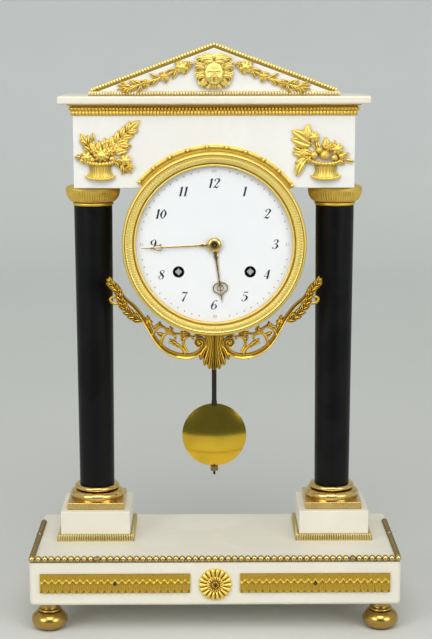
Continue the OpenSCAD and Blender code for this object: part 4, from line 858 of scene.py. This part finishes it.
def basket_body():
    depth, ribs, sag = 0.42, 26, 2.6
    profile = curve([(10.9, 0.6), (11.1, 1.4), (9.3, 3.6), (8.6, 6.2), (9.4, 9.6), (11, 12.6)], 5)
    a = linspace(0, pi, 8 * ribs + 1)[None, :]
    r = profile[:, :1] * (1 - 0.17 * abs(cos(ribs * a / 2)))
    bowl = stack([r * cos(a), profile[:, 1:] + sag * (1 - sin(a)), depth * r * sin(a)], -1)
    meshes = [grid(bowl[:, ::-1])]
    for y, r, thick in ((13, 11.6, 1.7), (1, 11, 1.3)):
        t = linspace(0, pi, 161)
        path = stack([r * cos(t), y + sag * (1 - sin(t)), depth * r * sin(t)], -1)
        meshes.append(tube(path, thick * (0.55 + 0.45 * abs(sin(13 * t))), 10))
    return meshes


def baskets():
    left = (
        [([(6, 20), (14, 30), (23, 39)], 4, 12, 6.2), ([(10, 20), (15, 24), (18, 25)], 1, 7, 3.4),
         ([(-4, 20), (-8, 26), (-10, 29)], 2, 9.5, 5), ([(-3, 21), (-4.5, 27), (-5, 31)], 1, 6.5, 3.2),
         ([(-6, 17), (-11, 18), (-15, 18.2)], 3, 5.5, 3), ([(9, 16), (16, 13), (20, 10)], 3, 7, 3.4)],
        [(0, 22, 102, 10, 5.4), (4, 22, 82, 12, 5.6), (-3, 22, 128, 10, 5), (9, 22, 58, 11, 5.6),
         (12, 21, 22, 11, 5.6), (16, 28, -8, 9, 5), (12, 26, 4, 9, 5), (14, 15, 8, 9, 4), (-7, 23, 150, 8, 3.6),
         (3, 25, 66, 8, 4), (17, 13, -78, 9, 4)],
        [(1.3, 19.8, 6.2, 9), (-10.5, 18.2, 4.6, 6), (20, 16, 4.6, 6), (23.5, 11, 3.2, 5), (-4.5, 23.5, 3.4, 5),
         (8, 23, 3.8, 6)],
        [(6.7, 30.5, 1.9), (2.3, 29, 1.9), (-6, 16.2, 2.3), (9.5, 17, 2.3), (-14.5, 15.5, 1.7)])
    right = (
        [([(-4, 19), (-8, 24.5), (-13, 30)], 0, 9, 4.4), ([(-10, 18), (-15, 17.5), (-19, 14)], 2, 8, 4.2),
         ([(8, 16.5), (12, 16), (15, 15.6)], 1, 7.5, 3.8)],
        [(-12, 27.5, 168, 17, 9.6), (-14.5, 30.5, 138, 15.5, 9), (-14.5, 31, 97, 13.5, 7.6), (0, 23, 84, 11, 7),
         (-16, 20, 176, 11, 6), (-18, 15.5, 240, 14, 7), (-13, 18, 206, 12, 6), (-15, 18, 226, 13, 6.4),
         (-11, 20, 152, 9, 5), (4, 24, 60, 8, 4.4), (-5, 24, 118, 8, 4.2), (10, 18, 18, 9, 4.2),
         (-19, 22, 158, 8, 4.2)],
        [(-9.4, 34, 4.4, 6), (8.9, 24.5, 4.9, 7), (-17.5, 21.5, 3.8, 5), (2.2, 26, 3.6, 6), (-14, 16.5, 3.2, 5)],
        [(-9.5, 19.8, 3.1), (-1, 19.8, 4.1), (6.6, 17.6, 2.9), (-5.5, 23.5, 2.6), (12, 19, 2.4)])
    for node, x, plan in (("flower_basket_left", -90.3, left), ("flower_basket_right", 88.6, right)):
        spot = front(x, ent_front, span(node)[0][2])
        piece(node + "_relief", basket_body() + bouquet(*plan), gold, replaces=[node], at=spot, sharp=60)


def bead_and_reel():
    r, lift = 77.4, 1.5
    first, last, repeats = 37, 140, 9
    pitch = (last - first) / repeats

    def at(share):
        return *polar(r, first + share * pitch), lift

    run = linspace(0, 1, 13)
    spindle = 1.15 + 0.2 * sin(pi * run)
    meshes = [tube([at(i + 0.17 + 0.66 * t) for t in run], spindle, 14, 0.9) for i in range(repeats)]
    for i in range(repeats + 1):
        meshes.append(ball(1.7, at(i), 0.9, 16))
        for off in (-0.13, 0.13):
            if 0 <= i + off <= repeats:
                meshes.append(tube([at(i + off - 0.02), at(i + off + 0.02)], 1.7, 14, 0.9))
    fillet = [(4.6, 0), (4.6, 0.6), (4.2, 0.9), (-1.4, 0.9), (-1.8, 0.6), (-1.8, 0)]
    meshes.append(moulded_bar(arc(0, 0, r, first - 1, last + 1, 90), fillet))
    piece("bead_and_reel_border", meshes, gold, replaces=["bead_and_reel"], at=DIAL)


def scroll_mount():
    """Pierced mount under the drum, drawn as its right half."""
    thick, set_back = 3.4, 7.4
    channel = [(2.4, 0), (2.4, 2.2), (1.9, thick), (1.2, thick - 0.1), (0.6, 2.3), (-0.5, 2.3),
               (-1.1, thick - 0.1), (-1.9, thick), (-2.4, 2.2), (-2.4, 0)]
    bowl, bowl_r, bowl_end = array([23, -63.7]), 29.1, -33
    low_arm = arc(*bowl, bowl_r, -90, bowl_end, 24)
    rise = curve([low_arm[-1], (50.6, -74.4), (58, -61), (65.2, -51.6), (71.5, -46), (75.8, -40.6),
                  (80.9, -34.8)], 10)
    arm = vstack([low_arm, rise[1:]])
    eye_x, eye_y = 12.3, -81.8
    t = radians(linspace(0, 90, 17))
    inner = stack([bowl[0] - (bowl[0] - eye_x + 3.9) * sin(t), eye_y - 11 * cos(t)], -1)
    eye_a = radians(linspace(180, -270, 54))
    eye_r = linspace(3.9, 1, 54)
    eye = stack([eye_x + eye_r * cos(eye_a), eye_y + eye_r * sin(eye_a)], -1)
    meshes = [moulded_bar(arm, channel, 0.45), moulded_bar(vstack([inner, eye[1:]]), channel, 0.35),
              ball(1.5, (eye_x, eye_y, 2.4), 0.9, 14)]

    # laurel branch on the outer arm
    branch = curve([(58.5, -64), (65.5, -59.8), (70.8, -55), (74.2, -49.5), (76.4, -43.4), (78.6, -38.6),
                    (82, -34.5), (86, -29.8)], 8)
    along = headings(branch)
    meshes.append(stem(branch, 1.5, 1.1, 1.1))
    for i, share in enumerate(linspace(0.02, 0.92, 20)):
        k = int(share * (len(branch) - 1))
        side = 1 if i % 2 else -1
        sprig = leaf(7.4 - 1.4 * share, 3.7, 3, -side * 26)
        meshes.append(placed(sprig, *branch[k], along[k] + side * 40, 0.8 + 0.5 * (i % 3)))
    meshes.append(placed(leaf(5.5, 3.4, 2.6), *branch[-6], along[-1], 1.4))
    hook = curve([(74.5, -49), (78.5, -49.3), (82.5, -48.5), (84.2, -45.8), (82.3, -43.8), (80, -45)], 7)
    meshes.append(stem(hook, 1.6, 1.4, 0.9))

    # tendrils and leaves in the openwork between arm and bezel
    tendrils = [
        [(50.7, -76.2), (48, -70.8), (42.6, -68.2), (36.5, -72.1), (31.2, -74.1), (21.8, -73.8)],
        [(43.5, -84), (42.6, -79), (40.5, -75), (36.5, -73.6), (31.8, -76.4), (32.6, -79.4)],
        [(23.5, -90.5), (26, -86.5), (30, -83.5), (37.5, -81)],
        [(22.4, -89.5), (25.2, -82.3), (23.1, -77.2), (18.6, -76.4), (17.4, -79)]]
    meshes += [stem(curve(points, 8), 1.5, 1.5, 0.95, 1.2) for points in tendrils]
    sprays = [
        (51.5, -71, 70, 13, 7, 3), (49.5, -70, 150, 8.5, 5, 3), (40, -70.5, 205, 10, 5.4, 3),
        (29, -74, 176, 10, 5, 3), (27.5, -85.5, 32, 12, 4.6, 3), (41, -76, 20, 7, 4, 0), (24.8, -81, 62, 6.5, 3.6, 0),
        (34, -73, 62, 6, 4, 0), (45, -69, 96, 5.5, 3.6, 0)]
    meshes += [placed(leaf(length, width, 2.8, 14, lobes), x, y, angle, 0.8)
               for x, y, angle, length, width, lobes in sprays]

    # fan of lobes in the middle
    for i in (3, 2, 1, 0):
        end = [(0, -104.2), (4.1, -103.2), (8.1, -100.2), (11.6, -95.6)][i]
        path = curve([(2.9 * i, -71), (2.1 * i, -77), (1.8 * i, -84), (0.72 * end[0], end[1] + 8), end], 8)
        t = linspace(0, 1, len(path))
        width = (1.5 + 0.9 * t) * sqrt(clip(1 - (clip(t - 0.86, 0, 1) / 0.15) ** 2, 0.02, 1))
        meshes.append(placed(plume(path, width, 3.4, 0.25), 0, 0, 0, 0.8 + 0.25 * (3 - i)))
    meshes.append(placed(leaf(12, 4.6, 2.8, -20, 2), 6.5, -74.2, -2, 0.8))
    web = prism([(0, -98), (7.5, -94), (7.5, -86), (8.2, -70.6), (0, -70.6)], 0, 1)
    lug = block((0, -82.2, -6), (3.5, -70.4, thick))
    upright = Matrix(((1, 0, 0, 0), (0, 0, 1, 0), (0, 1, 0, 0), (0, 0, 0, 1)))
    meshes += [moved(web, upright), lug]
    # The darker gilt here is painted shade of the bezel over the mount.
    piece("scroll_openwork", both_sides(meshes), shaded_scroll_gold, replaces=["scroll_mount"],
          at=DIAL @ shift(0, 0, -set_back), sharp=60)


def bezel():
    low, high = span("bezel")
    height, notch, dash = 7.7, 0.3, 0.2
    d0 = ent_front - low[1] - height
    rim, mouth = high[0], 62.5
    band_out, band_in = rim - 2.9, 65.3
    band = curve([(band_out, 6.8), (rim - 3.9, 6.5), (rim - 4.9, 6.45), (rim - 6, 6.75), (69, 7.05),
                  (67.2, 7.05), (band_in, 6.7)], 4).tolist()
    outer = [(66.3, 2.6), (66.3, 0), (rim - 0.4, 0), (rim, 0.4), (rim, 3.2), (rim - 0.5, 4.3), (rim - 1.3, 5.2),
             (rim - 2.1, 5.6), (rim - 2.4, 5.3), (rim - 2.6, 4.6)]
    inner = [(65.1, 5.4), (64.9, 4.5), (64.5, 4.5), (64.3, 5.2), (63.8, 5.9), (63.2, 6), (62.7, 5.7),
             (mouth, 5.2), (mouth, 3.1), (66.3, 2.6)]
    profile = array(outer + band + inner) + (0, d0)
    notches, dashes, segments = 240, 196, 1568

    def milling(row, a):
        notched = isin(row, (3, 4)) & (cos(notches * a) < 0)
        on_band = (row > len(outer)) & (row < len(outer) + len(band) - 1)
        across = clip((profile[row, 0] - band_in) / (band_out - band_in), 0, 1)
        cut = clip(cos(dashes * a + where(across > 0.5, 0, pi)), -0.3, 1) * sin(2 * pi * across) ** 2
        return -notch * notched, -dash * on_band * cut

    ring = lathe(profile, segments, milling)
    hinge_x, hinge_d, hinge_r, half = rim - 1.8, d0 - 1.85, 1.7, 2
    barrel = lathe([(0, -half), (hinge_r - 0.3, -half), (hinge_r, 0.3 - half), (hinge_r, half - 0.3),
                    (hinge_r - 0.3, half), (0, half)], 24)
    upright = Matrix.Rotation(radians(-90), 4, "X")
    knuckle = moved(barrel, shift(hinge_x, 0, hinge_d) @ upright)
    leaf_plate = block((hinge_x - 1.2, -half, hinge_d), (hinge_x + 1.2, half, d0 + 1))
    piece("bezel_ring", [ring, knuckle, leaf_plate], bezel_gold, body="bezel", replaces=["bezel"], at=DIAL, sharp=50)


# Pen strokes of the figures: points "x y width" in hundredths of their height
DIGITS = {
    "1": "12 82 2, 32 98 5; 32 100 14, 32 0 14; 18 1 3, 46 1 3",
    "2": "12 72 12, 8 86 7, 28 100 4, 52 84 14, 44 56 10, 18 16 4, 4 4 4; 4 5 4, 22 12 10, 44 3 10, 60 22 3",
    "3": "12 80 11, 18 96 4, 34 100 4, 50 82 13, 40 60 6, 22 53 3; 22 53 3, 46 47 7, 56 26 15, 38 1 5, 18 2 4, 8 18 11",
    "4": "42 100 14, 42 0 14; 42 100 3, 2 30 3; 2 30 4, 60 30 4",
    "5": "14 98 5, 54 96 9; 16 100 3, 12 58 3; 12 57 3, 32 64 5, 56 36 15, 36 1 5, 16 3 4, 7 18 11",
    "6": "50 86 10, 42 99 3, 20 86 6, 7 42 14, 14 7 7, 32 0 3, 55 26 12, 36 54 4, 12 36 3",
    "7": "8 80 4, 12 97 8, 34 92 11, 58 100 3; 58 100 3, 42 56 7, 26 0 15",
    "8": "53 84 6, 32 100 3, 10 80 8, 30 54 14, 55 24 10, 32 0 3, 6 22 6, 32 52 3, 53 84 6",
    "0": "30 100 3, 6 50 15, 30 0 3, 54 50 15, 30 100 3",
}


def strokes(digit):
    """Pen strokes of a figure as (x, y, width) points."""
    if digit == "9":
        return [stroke * (-1, -1, 1) + (0.6, 1, 0) for stroke in strokes("6")]
    lines = DIGITS[digit].split("; ")
    return [array([point.split() for point in line.split(", ")], float) / 100 for line in lines]


def ribbon(stroke, steps=8, weight=1):
    """Flat pen stroke through (x, y, width) points."""
    line = curve(stroke, steps)
    reach = weight * clip(line[:, 2:], 0.02, 1) / 2 * leftward(line[:, :2])
    edges = [insert(line[:, :2] + s * reach, 2, 0, axis=1) for s in (1, -1)]
    return grid(stack(edges, 1))


def number(text, x, y, size, weight):
    """Sloped figures, centred on x and y and standing upright."""
    slant, widths = 0.24, [0.5 if c == "1" else 0.68 for c in text]
    lean = Matrix(((1, slant, 0, 0), (0, 1, 0, 0), (0, 0, 1, 0), (0, 0, 0, 1)))
    meshes, pen = [], -sum(widths) / 2
    for c, wide in zip(text, widths):
        place = shift(x, y) @ Matrix.Scale(size, 4) @ lean @ shift(pen + wide / 2 - 0.31, -0.5)
        meshes += [moved(ribbon(stroke, 8, weight), place) for stroke in strokes(c)]
        pen += wide
    return meshes


def dial_face():
    hour_r, quarter_r, dot_r = 48.8, 58.5, 59
    winding_x, winding_y = 28.7, -22.2
    ground = DIAL @ shift(0, 0, dial_front + 0.06)
    hours, faint = [], []
    for hour in range(1, 13):
        hours += number(str(hour), *polar(hour_r, 90 - 30 * hour), 7.5, 1.4)
    for minute in range(60):
        if 1 < minute % 15 < 14:
            faint.append(moved(ribbon([(dot_r - 0.55, 0, 0.8), (dot_r + 0.55, 0, 0.8)], 1), turn(6 * minute)))
    for quarter, text in enumerate(("60", "15", "30", "45")):
        faint += number(text, *polar(quarter_r, 90 - 90 * quarter), 2.7, 1)
    piece("dial_hours", hours, ink, at=ground)
    piece("dial_minutes", faint, soft_ink, at=ground)
    # Black sleeves in the winding holes, with a thin black lip on the dial: painted shade inside the holes.
    hole_shade = lathe([(1.9, -6), (4.35, -6), (4.35, 0.05), (4.6, 0.07), (4.6, 0)], 48)
    hole_shades = [moved(hole_shade, shift(s * winding_x, winding_y, dial_front)) for s in (-1, 1)]
    piece("winding_hole_shades", hole_shades, shade, at=DIAL)


def hand(node, body, z, angle, hub_r, stations, loops):
    """A pierced hand: a flat bar with (distance, half width) stations, and loops as (points, radius) on both sides."""
    half_thick = 0.34
    x, half = curve(stations, 5).T
    half = clip(half, 0.08, 9)
    path = stack([x, 0 * x, z + 0 * x], -1)
    meshes = [tube(path, half, 10, minimum(0.45, half_thick / half)[:, None, None])]
    for points, r in loops:
        loop = stem(curve(points, 8), z, r, r, 0.8)
        meshes += [loop, mirrored(loop, 1)]
    low, high, bore = z - 0.4, z + 0.4, 2.2
    meshes.append(lathe([(bore, low), (hub_r, low), (hub_r, high - 0.2), (hub_r - 0.2, high), (bore, high)], 48))
    piece(node + "_pierced", meshes, hand_gold, body=body, replaces=[node], at=DIAL @ turn(angle))


def hands():
    minute_d, hour_d = dial_front + 2.4, dial_front + 1.3
    stations = [(3.5, 1.1), (5.5, 1.7), (7.5, 1.1), (9.5, 1.7), (11.5, 1), (14, 0.8), (27, 0.74), (40, 0.62),
                (41.6, 0.9), (43, 0.5), (48, 0.45), (49.4, 0.8), (51.5, 0.5), (58.5, 0.14)]
    loop = [(41.6, 0.3), (43.2, 1.7), (45.4, 2.1), (47.6, 1.2), (49.2, 0.2)]
    barb = [(44.4, 1.9), (43, 2.5), (41.6, 2.6)]
    hand("minute_hand", "minute_work", minute_d, -177, 4.4, stations, [(loop, 0.34), (barb, 0.28)])

    stations = [(3.5, 1.3), (5.5, 2.1), (7.6, 1.6), (10, 1.8), (12.2, 1.2), (14, 1.05), (28.5, 0.7), (30.2, 1.3),
                (31.6, 0.5), (39.7, 0.5), (41.4, 1), (43.2, 0.6), (47.2, 0.12)]
    heart = [(32, 0.3), (31.4, 2.8), (34, 5.5), (37.6, 5), (39.5, 2.4), (41.4, 0.3)]
    curl = [(33, 0.4), (33.8, 2), (35.9, 2.5), (37.3, 1.4), (37.1, 0.3)]
    hand("hour_hand", "hour_work", hour_d, -82.25, 4.2, stations, [(heart, 0.55), (curl, 0.4)])

    d = minute_d + 0.4
    boss = lathe([(2, d), (5.6, d), (5.8, d + 0.5), (5.4, d + 1.2), (4.5, d + 1.9), (3.2, d + 2.3), (2.2, d + 2.2),
                  (2, d + 1.4), (2, d)], 48)
    piece("hand_boss", [boss], bright_gold, body="minute_work", replaces=["hand_collet"], at=DIAL)
    well = lathe([(2.05, d + 1.5), (0.9, d + 1.4), (0.9, d + 2), (0.5, d + 2.3), (0, d + 2.35)], 24)
    piece("hand_boss_pin", [well], iron, "minute_work", at=DIAL)


def bob():
    low, high = span("pendulum_bob")
    r = (high[2] - low[2]) / 2
    half, rim = (high[1] - low[1]) / 2, 0.5
    s = linspace(0, 1, 33)
    face = stack([r * s, rim + (half - rim) * (1 - s * s)], -1)
    profile = vstack([face * [1, -1], face[::-1]])
    rod_y = (low[1] + high[1]) / 2
    piece("bob_lens", [lathe(profile, 160)], polished_brass, "pendulum", replaces=["pendulum_bob"],
          at=front(0, rod_y, (low[2] + high[2]) / 2))
    rod = block((-2, rod_y - 1.1, high[2] - 2), (2, rod_y + 1.1, dial_z - 66))
    ferrule = block((-2.3, rod_y - 1.4, high[2] - 2), (2.3, rod_y + 1.4, high[2] + 2.5))
    piece("pendulum_rod_bar", [rod, ferrule], iron, "pendulum", bevel=0.4)


# Studio: floor, world, lights and camera

def floor():
    """Pale floor that curves up into the wall behind."""
    s = Shader("Floor")
    depth = s.add("SeparateXYZ", Vector=s.where).outputs["Y"]
    tone = s.blend(s.ramp(depth, -0.2, 3, 0, 1), (59, 59, 55.5), (93, 95, 93))
    # The floor is made paler round a point just in front of the clock: a painted pool of light.
    off = s.add("VectorMath", Vector=s.where)
    off.operation = "DISTANCE"
    off.inputs[1].default_value = (0, -0.16, 0)
    tone = s.blend(s.ramp(off.outputs["Value"], 0.06, 0.24, 1, 0), tone, (74, 74, 70))
    s.set(Base_Color=s.blend(s.ramp(s.noise(3, 2), 0.3, 0.7, 0, 0.04), tone, (50, 50, 50)), Roughness=0.88,
          Specular_IOR_Level=0.1)
    near, sweep_y, sweep_r, top, half_w = -500, 2000, 1500, 4000, 6000
    line = vstack([[(near, 0)], arc(sweep_y, sweep_r, sweep_r, -90, 0, 40), [(sweep_y + sweep_r, top)]])
    skin = stack([insert(line, 0, x, axis=1) for x in (half_w, -half_w)], 1)
    solid("studio_floor", [grid(skin)], s.material)


def world(scene):
    """Pale all round, but dim in front of the object, where the dark of the room shows in polished brass."""
    scene.world = bpy.data.worlds.new("Studio")
    scene.world.use_nodes = True
    s = Tree(scene.world.node_tree, "Generated")
    way = s.add("SeparateXYZ", Vector=s.where).outputs
    ahead = s.ramp(way["Y"], -0.45, -0.75, 0, 1)
    level = s.ramp(way["Z"], 0.55, 0.38, 0, 1)
    colour = s.blend(s.ramp(ahead, 0, 1, 0, level), (54, 56, 54), (10, 12.5, 18))
    s.put(s.tree.nodes["Background"].inputs["Color"], colour)


def softbox(name, place, target_z, power):
    """Round light turned to the height target_z on the middle of the clock."""
    data = bpy.data.lights.new(name, "AREA")
    data.shape = "DISK"
    data.size = 1.3
    data.energy = power
    obj = bpy.data.objects.new(name, data)
    obj.location = place
    obj.rotation_euler = (Vector((0, 0, target_z)) - Vector(place)).to_track_quat("-Z", "Y").to_euler()
    bpy.context.collection.objects.link(obj)


def camera(scene):
    photo_height, focal_px = 639, 1552.12
    data = bpy.data.cameras.new("PhotoCamera")
    data.sensor_width = 36
    data.lens = focal_px * data.sensor_width / photo_height
    obj = bpy.data.objects.new("PhotoCamera", data)
    obj.location = (-0.00749, -1.2482, 0.46319)
    obj.rotation_euler = tuple(radians(v) for v in (80.18, 0.08, -0.42))
    bpy.context.collection.objects.link(obj)
    scene.camera = obj


def cad_finishes():
    finishes = {"white_marble": marble, "black_marble": black_stone, "gilt_bronze": gold, "brass": brass,
                "steel": steel, "dark_iron": iron, "white_enamel": enamel, "clear_glass": glass}
    for obj in frame["nodes"].values():
        for slot in obj.material_slots:
            slot.material = finishes[slot.material.name]
    for node, finish in (("going_arbor", worn_steel), ("strike_arbor", worn_steel), ("rating_nut", dark_bronze_and_shade)):
        frame["nodes"][node].material_slots[0].material = finish


scene = bpy.context.scene
scene.view_settings.view_transform = "Standard"
cad_finishes()
for make in (marble_blocks, columns, column_bases, capitals, feet, mouldings, bead_rows, base_ornament, mask, garlands,
             baskets, bead_and_reel, scroll_mount, bezel, dial_face, hands, bob, floor):
    make()
world(scene)
softbox("KeyLight", (-1.4, -1.6, 0.95), 0.28, 16.5)
softbox("FillLight", (1.4, -1.6, 0.85), 0.25, 14.5)
softbox("TopLight", (0, -1.3, 1.8), 0.25, 17)
camera(scene)
